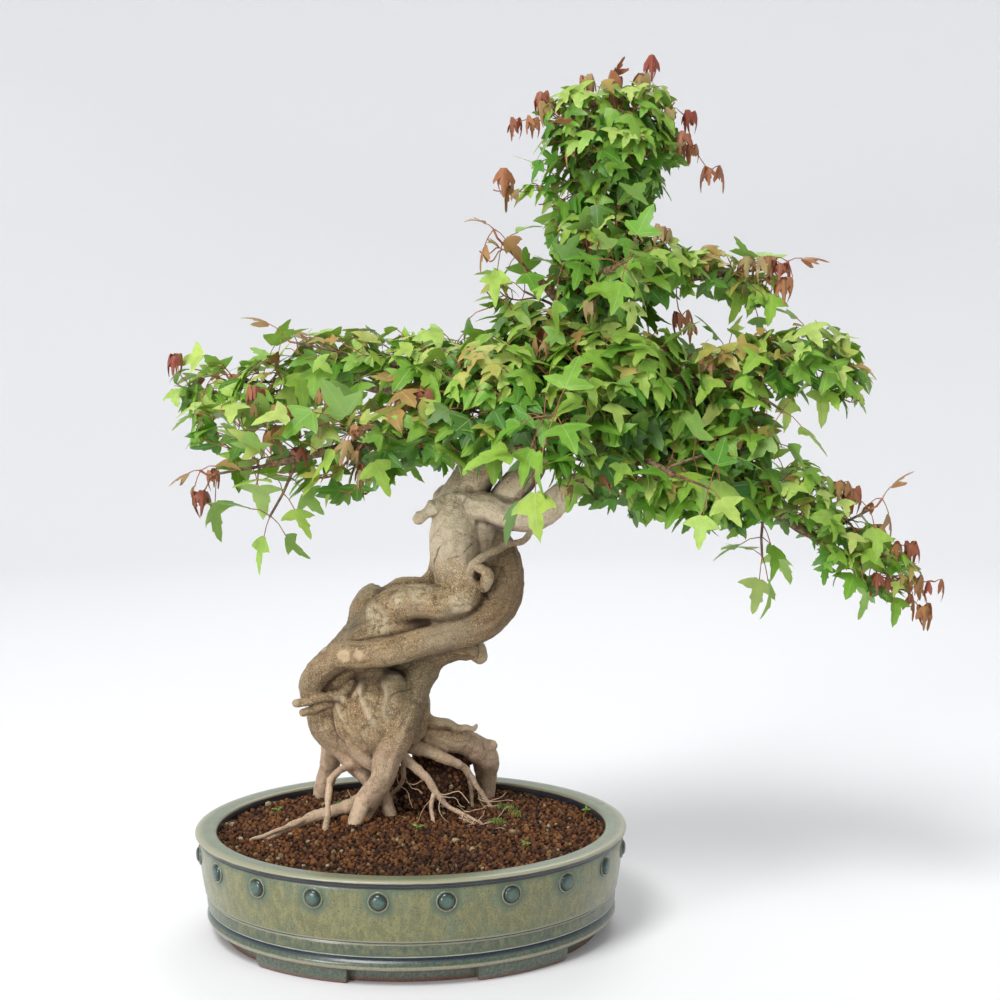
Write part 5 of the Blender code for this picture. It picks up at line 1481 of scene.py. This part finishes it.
def twigLeaves(rows, tip, rng):
    centres = [row[0] for row in rows]
    spin = rng.uniform(0.0, math.pi)
    placed, length = [], 0.0
    pairs = 2 if rng.random() < twigs["twoPairs"] else 1
    wanted = [0.001 + twigs["pairGap"] * n * rng.uniform(0.8, 1.25) for n in range(pairs)]
    for k in range(len(centres) - 1, 0, -1):
        span = (centres[k] - centres[k - 1]).length
        while wanted and length + span >= wanted[0]:
            spot = centres[k].lerp(centres[k - 1], (wanted[0] - length) / max(span, 1e-6))
            tangent = (centres[k] - centres[k - 1]).normalized()
            side = tangent.cross(up).normalized()
            lift = side.cross(tangent)
            number = pairs - len(wanted)
            turn = spin + number * math.pi / 2
            pull = side * math.cos(turn) + lift * math.sin(turn)
            for sign in (-1, 1):
                aim = (pull * sign + tangent * 0.55).normalized()
                size, young = ((0.82, 0.16), (1.02, 0.02))[number]
                placed += hangingLeaf(spot, aim, tip, tip["leaf"] * size, young, rng)
            wanted.pop(0)
        length += span
    if rng.random() < twigs["endLeaf"]:
        tangent = (centres[-1] - centres[-2]).normalized()
        young = 0.70 if tip["out"].z > 0.1 else 0.2
        placed += hangingLeaf(centres[-1], tangent, tip, tip["leaf"] * 0.60, young, rng)
    return placed


def insideModel(leaf):
    end = treeFrame @ (leaf["base"] + leaf["along"] * leaf["length"])
    low, high = modelBox
    return all(low[k] - twigs["margin"] < end[k] < high[k] + twigs["margin"] for k in range(3))


morePaths, moreLeaves = growTwigs()
twigPaths += morePaths
grownLeaves += moreLeaves
print("twigs", len(twigPaths), "leaves", len(grownLeaves))


def leafOutline(lobe, notch, waist):  # the right half: foot, rim, two inner points, spine and tip
    reach = (lobe[0] - 0.05, lobe[1] - 0.06)
    far = math.hypot(*reach)

    def onLobe(share, outside):  # along the side lobe, and toward its outer edge
        return (0.05 + reach[0] * share + reach[1] / far * outside,
                0.06 + reach[1] * share - reach[0] / far * outside)
    inner = onLobe(0.80, -0.055)
    return [(0.0, 0.0), (0.10, -0.035), onLobe(0.45, 0.125), onLobe(0.82, 0.085), lobe, inner,
            ((inner[0] + notch[0]) / 2 + 0.01, (inner[1] + notch[1]) / 2 + 0.015), notch,
            (waist * 0.95, notch[1] + 0.13), (waist, notch[1] + 0.25), (waist * 0.72, notch[1] + 0.29),
            (waist * 0.56, 0.83), (0.045, 0.92), (0.17, 0.12), onLobe(0.66, 0.0),
            (0.0, 0.15), (0.0, 0.40), (0.0, 0.62), (0.0, 0.80), (0.0, 1.0)]


leafFaces = [(0, 1, 13), (0, 13, 15), (1, 2, 14, 13), (2, 3, 4, 14), (14, 4, 5), (13, 14, 5, 6),
             (15, 13, 6, 7), (15, 7, 16), (16, 7, 8, 17), (17, 8, 9, 10), (17, 10, 18), (18, 10, 11, 12),
             (18, 12, 19)]
leafSpine = (0, 15, 16, 17, 18, 19)
leafShapes = (  # side lobe's point, notch, waist, then fold, droop, how far the lobes hang, twist
    ((0.56, 0.34), (0.18, 0.40), 0.20, 0.14, 0.20, 0.20, 0.00),
    ((0.62, 0.16), (0.20, 0.29), 0.24, 0.18, 0.28, 0.12, 0.05),
    ((0.50, 0.45), (0.17, 0.45), 0.18, 0.24, 0.35, 0.15, -0.06),
    ((0.58, 0.26), (0.18, 0.34), 0.20, 0.08, 0.15, 0.35, 0.10),
    ((0.46, 0.40), (0.16, 0.41), 0.21, 0.30, 0.42, 0.20, -0.10),
    ((0.60, 0.30), (0.20, 0.38), 0.23, 0.05, 0.25, 0.50, 0.12),
    ((0.38, 0.47), (0.11, 0.30), 0.14, -0.45, 0.35, 0.90, 0.05),
    ((0.30, 0.54), (0.09, 0.30), 0.12, -0.80, 0.50, 0.60, -0.08))


def leafShape(name, lobe, notch, waist, fold, droop, hang, twist):
    rng = random.Random(name)
    points = [(x + rng.uniform(-0.02, 0.02), y + rng.uniform(-0.02, 0.02)) if 1 < k < 13 else (x, y)
              for k, (x, y) in enumerate(leafOutline(lobe, notch, waist))]
    flat = leafOutline(*leafShapes[0][:3])  # every shape shares these places for its veins

    def bent(x, y, side, lift):
        z = fold * abs(x) - hang * x * x - droop * y * y + twist * x * y * side + lift
        return (x * side, y * (1.0 - 0.16 * droop), z)
    bm = bmesh.new()
    uv = bm.loops.layers.uv.new("UVMap")
    rim = {}
    for lower in (0, 1):
        made = {}
        for side in (1, -1):
            for k, (x, y) in enumerate(points):
                key = (k, 1 if k in leafSpine else side)
                onRim = k < 13 or k == 19
                if key in made:
                    continue
                if onRim and lower:
                    made[key] = rim[key]
                else:
                    lift = 0.0 if onRim else (-0.010 if lower else 0.010)
                    made[key] = bm.verts.new(bent(x, y, side, lift))
                if onRim:
                    rim[key] = made[key]
        for side in (1, -1):
            for face in leafFaces:
                ring = [(k, 1 if k in leafSpine else side) for k in face]
                if (side < 0) != bool(lower):
                    ring.reverse()
                new = bm.faces.new([made[key] for key in ring])
                new.smooth = True
                for loop, (k, _) in zip(new.loops, ring):
                    loop[uv].uv = (flat[k][0] * side, flat[k][1] - 2.0 * lower)
    mesh = meshOf(name, bm, False)
    mesh.set_sharp_from_angle(angle=math.radians(70.0))
    return mesh


def leafFinish(name, shades, youngShades, veinShade, underShade, glow):
    made, graph = newFinish(name)
    tone, age = graph.reads("tone"), graph.reads("age")
    x, y, _ = graph.parts(graph.add("ShaderNodeUVMap", {"uv_map": "UVMap"}))
    under = y.below(-0.6, -0.5)  # the lower face's map lies 2 lower
    x, y = abs(x), y + under * 2.0
    body, young = (graph.ramp(tone, *[(k / (len(row) - 1), shade) for k, shade in enumerate(row)])
                   for row in (shades, youngShades))
    patch = graph.noise(110, 3.0)
    lobeLine = abs(x * 0.526 - y * 0.851) + (x - 0.50).most(0.0)
    midrib = x.below(0.005, 0.018)
    lobes = lobeLine.below(0.004, 0.015) * y.below(0.36, 0.42)
    ribLine = (y - x * 0.75) * 9.0
    ribs = abs(ribLine.fraction() - 0.5).between(0.42, 0.49) * 0.4
    veins = midrib.most(lobes).most(ribs)
    body = graph.layers(
        body, (age.between(0.15, 0.75), young), (patch.between(0.35, 0.7) * 0.30, shades[0]),
        (veins * 0.32, veinShade), (graph.noise(420, 2.0).between(0.60, 0.8) * 0.18, "c9c07c"),
        (under * 0.50, underShade))
    shader = graph.add("ShaderNodeBsdfPrincipled", None, {
        "Base Color": body, "Roughness": patch * 0.18 + 0.30, "Specular IOR Level": 0.45,
        "Normal": graph.bump(1 - veins * 0.6 + patch * 0.4, 0.45, 0.0004)})
    through = graph.add("ShaderNodeBsdfTranslucent", None, {"Color": tint(glow)})
    both = graph.add("ShaderNodeMixShader", None, {0: 0.36, 1: shader, 2: through})
    graph.add("ShaderNodeOutputMaterial", None, {"Surface": both})
    return made


def twigFinish():
    made, graph = newFinish("twigSkin")
    age = graph.reads("age")
    grain = graph.noise(300, 3.0)
    woody = graph.mix(grain.between(0.35, 0.65), "4a3424", "8a7050")
    fresh = graph.mix(grain.between(0.35, 0.65), "8c4a35", "a8714a")
    skin = graph.mix(age.between(0.3, 0.8), woody, fresh)
    graph.surface(baseColor=skin, roughness=grain * 0.15 + 0.5, normal=graph.bump(grain, 0.4, 0.0006))
    return made


def leafRow(leaf, rng):
    across = leaf["along"].cross(leaf["normal"])
    turn = Matrix((across, leaf["along"], leaf["normal"])).transposed()
    young = leaf["young"]
    shape = rng.choice((6, 7, 4)) if young > 0.9 else rng.choice((0, 0, 1, 2, 3, 4, 5))
    # leaves on top of each mass are lighter and those underneath darker, partly sun and shade leaves and
    # partly painted light and shade; outer leaves are lighter too, partly painted light
    upper = leaf.get("upper", 0.2)
    outer = min(1.0, abs(leaf["root"].x - 0.14) / 0.18)
    tone = min(1.0, max(0.0, rng.gauss(0.42 + 0.42 * upper + 0.20 * outer, 0.17)))
    young += max(0.0, noise.noise(leaf["root"] * 21.0)) * (1.2 + 0.5 * outer) * max(0.0, upper)
    size = leaf["length"] * (0.86 if leaf["node"].startswith("spray") else 1.0)
    return {"place": leaf["base"], "pose": turn.to_euler(), "size": size, "shape": leaf.get("shape", shape),
            "tone": leaf.get("tone", tone), "age": min(1.0, max(0.0, young + rng.uniform(-0.12, 0.16)))}


def stalkPath(leaf):
    root, base = leaf["root"], leaf["base"]
    middle = root.lerp(base, 0.5) + up * leaf["petiole"] * 0.10
    return [(root, 0.00055, 0.8), (middle, 0.00042, 1.0), (base, 0.00048, 1.0)]


def makeFoliage():
    green = leafFinish("leafGreen", ("2f6320", "65a536", "a9d350", "dcec84"),
                       ("a8cf44", "cdd658", "d6bd66", "c98f58"), "d8e8a4", "9cba80", "c2e455")
    reds = ("a25546", "ab7054", "bf8a58", "b79f64", "b3ac70")
    bronze = leafFinish("leafBronze", reds, reds, "d3a880", "b78a68", "c86a38")
    box = shapeBox("leaf", [leafShape(f"leaf{n}", *row) for n, row in enumerate(leafShapes)])
    for region in ("left", "centre", "right", "top", "red"):
        rng = random.Random("tones " + region)
        rows = [leafRow(leaf, rng) for leaf in grownLeaves if leaf["region"] == region]
        finish, slot = (bronze, "leaf_bronze") if region == "red" else (green, "leaf_green")
        name = region + "Leaves"
        item = shaped(pointsItem(name, rows), copiesTree(name + "Copies", finish), {"Shapes": box})
        nodes = [n for n in frame["nodes"] if n.startswith("tip_")] if region == "red" else [
            n for n in frame["nodes"] if n.startswith("spray_") and regionOf(n[6:]) == region]
        handOver(item, slot, *nodes)
        print(name, len(rows), "leaves,", triangles(item), "triangles")
    emptyBox(box)
    skin = twigFinish()
    tubes("twigs", twigPaths, skin, 5, "tan_bark")
    tubes("leafStalks", [stalkPath(leaf) for leaf in grownLeaves], skin, 3, "leaf_bronze")
    wooden = []
    for route, *_ in branches.values():
        wooden.append([(Vector(row[:3]) + noise.noise_vector(Vector(row[:3]) * 70.0) * 0.0008,
                        row[3] * (1.0 + 0.14 * noise.noise(Vector(row[:3]) * 150.0)), 0.0)
                       for row in smoothRoute(route, 6)])
    tubes("branchWood", wooden, skin, 12, "tan_bark", "trunk")


makeFoliage()

# Soil, grains, small plants and fine roots
soil = {"top": 0.0765, "mound": 0.0020, "edge": 0.0180, "sink": 0.0016,
        "grainRoom": 0.0029, "density": 160000.0, "grainSizes": (0.0030, 0.0056),
        "clod": metres((((20, 72, 104), 27), ((26, 80, 120), 20), ((2, 66, 96), 22))), "clodVoxel": 0.0022,
        "pebbles": ((-56.7, 19.2, 8.5, 0.93), (-39.1, 16.4, 7, 0.86), (-25, 39.3, 7.5, 0.9),
                    (-31.8, -13.9, 8, 0.55), (-12.9, 48.1, 6.5, 0.95), (15.4, -75.5, 8.5, 0.6),
                    (-127.5, 69, 6, 0.99), (36, -37.7, 5.5, 0.99), (79, -80, 7.5, 0.5),
                    (-95, -50, 7, 0.45), (118, 15, 7.5, 0.7), (-70, -90, 6.5, 0.8)),
        "moss": metres(((74.3, 59.9, 16), (69.3, 19.2, 11), (86, 42, 9), (-65, 70, 10))),
        "sprouts": ((142, 30.6, 0.0), (4.2, -21.9, 1.2), (-116, 30, 2.3), (90, -64, 0.7))}


def soilHeight(x, y):
    away = (x / (pot["length"] / 2)) ** 2 + (y / (pot["width"] / 2)) ** 2
    return soil["top"] + soil["mound"] * (1.0 - away) + 0.0010 * noise.noise((x * 60.0, y * 60.0, 0.0))


def soilBody(finish):
    bm = bmesh.new()
    edge = soil["edge"]
    levels = [(edge + 0.0090, pot["floorTop"] + 0.0005), (edge + 0.0006, 0.0292), (edge, 0.0340),
              (edge, 0.0722), (edge, 0.0745)]
    rings = [[bm.verts.new(p) for p in ovalRing(inset, height)] for inset, height in levels]
    rings += [[bm.verts.new((p.x, p.y, soilHeight(p.x, p.y) - soil["sink"]))
               for p in ovalRing(edge + (0.0012 + 0.0054 * k), 0.0)] for k in range(24)]
    bridge(bm, rings)
    item = newItem("soilBed", meshOf("soilBed", bm), finish)
    item.data.shade_smooth()
    return item


def clodBody(finish):  # the lump of old soil under the arching root
    turn = potFrame.inverted() @ treeFrame
    bm = bmesh.new()
    for middle, radius in soil["clod"]:
        made = bmesh.ops.create_icosphere(bm, subdivisions=4, radius=radius)["verts"]
        for vert in made:
            lump = 1.0 + 0.22 * noise.noise(vert.co * 42.0) + 0.07 * noise.noise(vert.co * 190.0)
            vert.co = turn @ (Vector(middle) + vert.co * lump)
    item = newItem("soilClod", meshOf("soilClod", bm), finish)
    blend = item.modifiers.new("blend", "REMESH")
    blend.mode, blend.voxel_size = "VOXEL", soil["clodVoxel"]
    settle(item)
    item.data.materials.clear()
    item.data.materials.append(finish)
    item.data.shade_smooth()
    return item


def grainShape(n):
    bm = bmesh.new()
    bmesh.ops.create_icosphere(bm, subdivisions=1, radius=0.5)
    for vert in bm.verts:
        vert.co *= 1.0 + 0.55 * noise.noise(vert.co * 1.7 + Vector((n * 7.3, n, 0)))
        vert.co.z *= 0.85
    return meshOf(f"grain{n}", bm)


def grainsTree(finish):
    smallest, largest = soil["grainSizes"]
    tree, graph, given = nodeTree(
        "soilGrains", Shapes=("Collection", None), Spacing=("Float", soil["grainRoom"]),
        Density=("Float", soil["density"]), Smallest=("Float", smallest), Largest=("Float", largest),
        Seed=("Int", 3))
    spots = graph.add("GeometryNodeDistributePointsOnFaces", {"distribute_method": "POISSON"}, {
        "Mesh": given, "Distance Min": given.other("Spacing"), "Density Max": given.other("Density"),
        "Seed": given.other("Seed")})
    tone = graph.add("FunctionNodeRandomValue", {"data_type": "FLOAT"}, {"Seed": 5}, 1)
    toned = graph.add("GeometryNodeStoreNamedAttribute", {"data_type": "FLOAT", "domain": "POINT"}, {
        "Geometry": spots, "Name": "tone", "Value": tone})
    shapes = graph.add("GeometryNodeCollectionInfo", None, {
        "Collection": given.other("Shapes"), "Separate Children": True, "Reset Children": True})
    turn = graph.add("FunctionNodeRandomValue", {"data_type": "FLOAT_VECTOR"}, {
        "Min": (0.0, 0.0, 0.0), "Max": (6.28, 6.28, 6.28), "Seed": 8}, 0)
    turned = graph.add("FunctionNodeEulerToRotation", None, {"Euler": turn})
    size = graph.add("FunctionNodeRandomValue", {"data_type": "FLOAT"}, {"Seed": 9}, 1)
    small, large = given.other("Smallest"), given.other("Largest")
    which = graph.add("FunctionNodeRandomValue", {"data_type": "INT"}, {"Seed": 4}, 2)
    which.node.inputs[5].default_value = 5
    copies = graph.add("GeometryNodeInstanceOnPoints", None, {
        "Points": toned, "Instance": shapes, "Pick Instance": True, "Instance Index": which,
        "Rotation": turned, "Scale": small + (large - small) * size ** 1.6})
    close(graph, copies, finish, False)
    return tree


def soilFinish(name, darkening):
    made, graph = newFinish(name)
    tone = graph.reads("tone")
    crumb = graph.noise(900, 4.0, 0.7)
    patch = graph.noise(18, 2.0)
    skin = graph.layers(
        graph.ramp(tone, (0.0, "341a0c"), (0.35, "5c3418"), (0.70, "7a4b24"), (0.93, "8d5c30"),
                   (0.98, "8f744c"), (1.0, "c4b491")),
        (crumb.between(0.4, 0.7) * 0.5, "26170d"), (crumb.below(0.28, 0.42) * 0.5, "a06c42"),
        # the bed under the grains is made darker by the given amount
        (patch.between(0.45, 0.70) * 0.45 + darkening, "1f130a"))
    graph.surface(baseColor=skin, roughness=0.93, normal=graph.bump(crumb, 0.8, 0.0009))
    return made


def plantFinish():
    made, graph = newFinish("mossGreen")
    fine = graph.noise(700, 3.0)
    skin = graph.mix(fine.between(0.35, 0.65), "3c5a22", "86a544")
    skin = graph.mix(graph.reads("age") * 0.8, skin, "a5523c")
    graph.surface(baseColor=skin, roughness=fine * 0.2 + 0.55, normal=graph.bump(fine, 0.6, 0.0006))
    return made


def smallPlants():  # moss tufts and seedlings, each a short line from the soil
    rng = random.Random(12)
    paths = []
    for x, y, wide in soil["moss"]:
        for _ in range(int(wide * 9000)):
            aside = Vector((rng.gauss(0, 0.45), rng.gauss(0, 0.35), 0.0)) * wide
            foot = Vector((x, y, 0.0)) + aside
            foot.z = soilHeight(foot.x, foot.y) - 0.001
            tall = rng.uniform(0.002, 0.0045) * (1.2 - min(1.0, aside.length / wide))
            lean = Vector((rng.uniform(-0.5, 0.5), rng.uniform(-0.5, 0.5), 1.0))
            paths.append([(foot, 0.0006, 0.0), (foot + lean * tall * 0.6, 0.00055, 0.0),
                          (foot + lean * tall, 0.0002, 0.0)])
    for *spot, turn in soil["sprouts"]:
        x, y = metres(spot)
        foot = Vector((x, y, soilHeight(x, y)))
        top = foot + Vector((0.002, -0.001, 0.008))
        paths.append([(foot - up * 0.002, 0.0006, 0.9), (foot + up * 0.004, 0.0005, 0.7), (top, 0.0005, 0.3)])
        for n in range(4):
            angle = turn + n * math.pi / 2
            way = Vector((math.cos(angle), math.sin(angle), 0.35 if n % 2 else 0.1))
            size = 0.006 if n % 2 else 0.004
            paths.append([(top, 0.0004, 0.1), (top + way * size * 0.5, 0.0013, 0.0),
                          (top + way * size, 0.0003, 0.0)])
    return paths


def makeSoil():
    bedFinish, grainFinish = soilFinish("soilBed", 0.45), soilFinish("redBrownGrain", 0.0)
    bed = soilBody(bedFinish)
    clod = clodBody(bedFinish)
    bm = bmesh.new()
    bm.from_mesh(bed.data)
    gone = [f for f in bm.faces if f.calc_center_median().z < 0.0738 or f.normal.z < 0.3]
    bmesh.ops.delete(bm, geom=gone, context="FACES")
    bmesh.ops.translate(bm, vec=(0.0, 0.0, 0.0012), verts=bm.verts)
    kept = len(bm.faces)
    bm.from_mesh(clod.data)
    bm.faces.ensure_lookup_table()
    gone = [f for f in bm.faces[kept:] if f.calc_center_median().z < 0.0755]
    bmesh.ops.delete(bm, geom=gone, context="FACES")
    top = newItem("grainBed", meshOf("grainBed", bm, False))
    box = shapeBox("grain", [grainShape(n) for n in range(6)])
    grains = shaped(top, grainsTree(grainFinish), {"Shapes": box})
    grains.name = "soilGrains"
    rows = []
    for n, (*sizes, tone) in enumerate(soil["pebbles"]):
        x, y, size = metres(sizes)
        rows.append({"place": (x, y, soilHeight(x, y) + size * 0.25), "pose": (x * 90, y * 90, x * 50),
                     "size": size, "shape": n % 6, "tone": tone})
    tree = copiesTree("pebbleCopies", grainFinish, False)
    stones = shaped(pointsItem("pebbles", rows), tree, {"Shapes": box})
    emptyBox(box)
    handOver(bed, "red_brown_soil", "soil", place=potFrame)
    for item in (grains, clod):
        handOver(item, "red_brown_soil", place=potFrame)
    handOver(stones, "red_brown_soil")
    tubes("smallPlants", smallPlants(), plantFinish(), 4, "leaf_green")
    print("soil is made,", triangles(grains), "triangles of grains,", triangles(clod), "of clod")


hairRoots = {"joints": 9, "step": 0.0042, "thick": (0.00035, 0.0006), "stray": 0.7,
             "starts": (  # where they start, which way they run, and how many
                 ((40, 25, 83), (0.8, -0.5), 9), ((52, 16, 79), (0.5, -0.9), 8),
                 ((20, 26, 98), (0.3, -0.5), 4), ((56, 60, 88), (0.6, -0.3), 3),
                 ((-30, 52, 84), (-0.4, -0.6), 3), ((-12, 40, 110), (0.2, -0.4), 3))}


def makeRoots():  # the roots that hang or lie free, and fine roots like hairs
    paths = []
    for points in sideRoots.values():
        route = smoothRoute(points, 8)
        path = []
        for i, row in enumerate(route):
            place = Vector(row[:3])
            knots = 0.22 * noise.noise(place * 150.0) + 0.16 * noise.noise(place * 420.0)
            ending = 0.55 if i == len(route) - 1 else 0.88 if i == len(route) - 2 else 1.0
            place += noise.noise_vector(place * 95.0) * 0.0011
            path.append((place, row[3] * (1.05 + knots) * ending, 0.0))
        paths.append(path)
    rng = random.Random(21)
    stray = hairRoots["stray"]
    for start, aim, count in hairRoots["starts"]:
        for _ in range(count):
            here = Vector(metres(start)) + scatter(rng, 0.003)
            way = Vector((*[a + rng.uniform(-stray, stray) for a in aim], -0.3)).normalized()
            path = []
            thick = rng.uniform(*hairRoots["thick"])
            for k in range(hairRoots["joints"]):
                path.append((here.copy(), thick * (1.0 - 0.06 * k), 0.0))
                way = (way + scatter(rng, 0.5)).normalized()
                here = here + way * hairRoots["step"]
                here.z = max(here.z, soil["top"] + 0.0008)
            paths.append(path)
    # fixed readings for the bark's painted light: a slight painted highlight and no painted shade on these
    # thin roots
    tubes("fineRoots", paths, bark, 10, "tan_bark", hollow=0.36, shade=0.78)


makeSoil()
makeRoots()
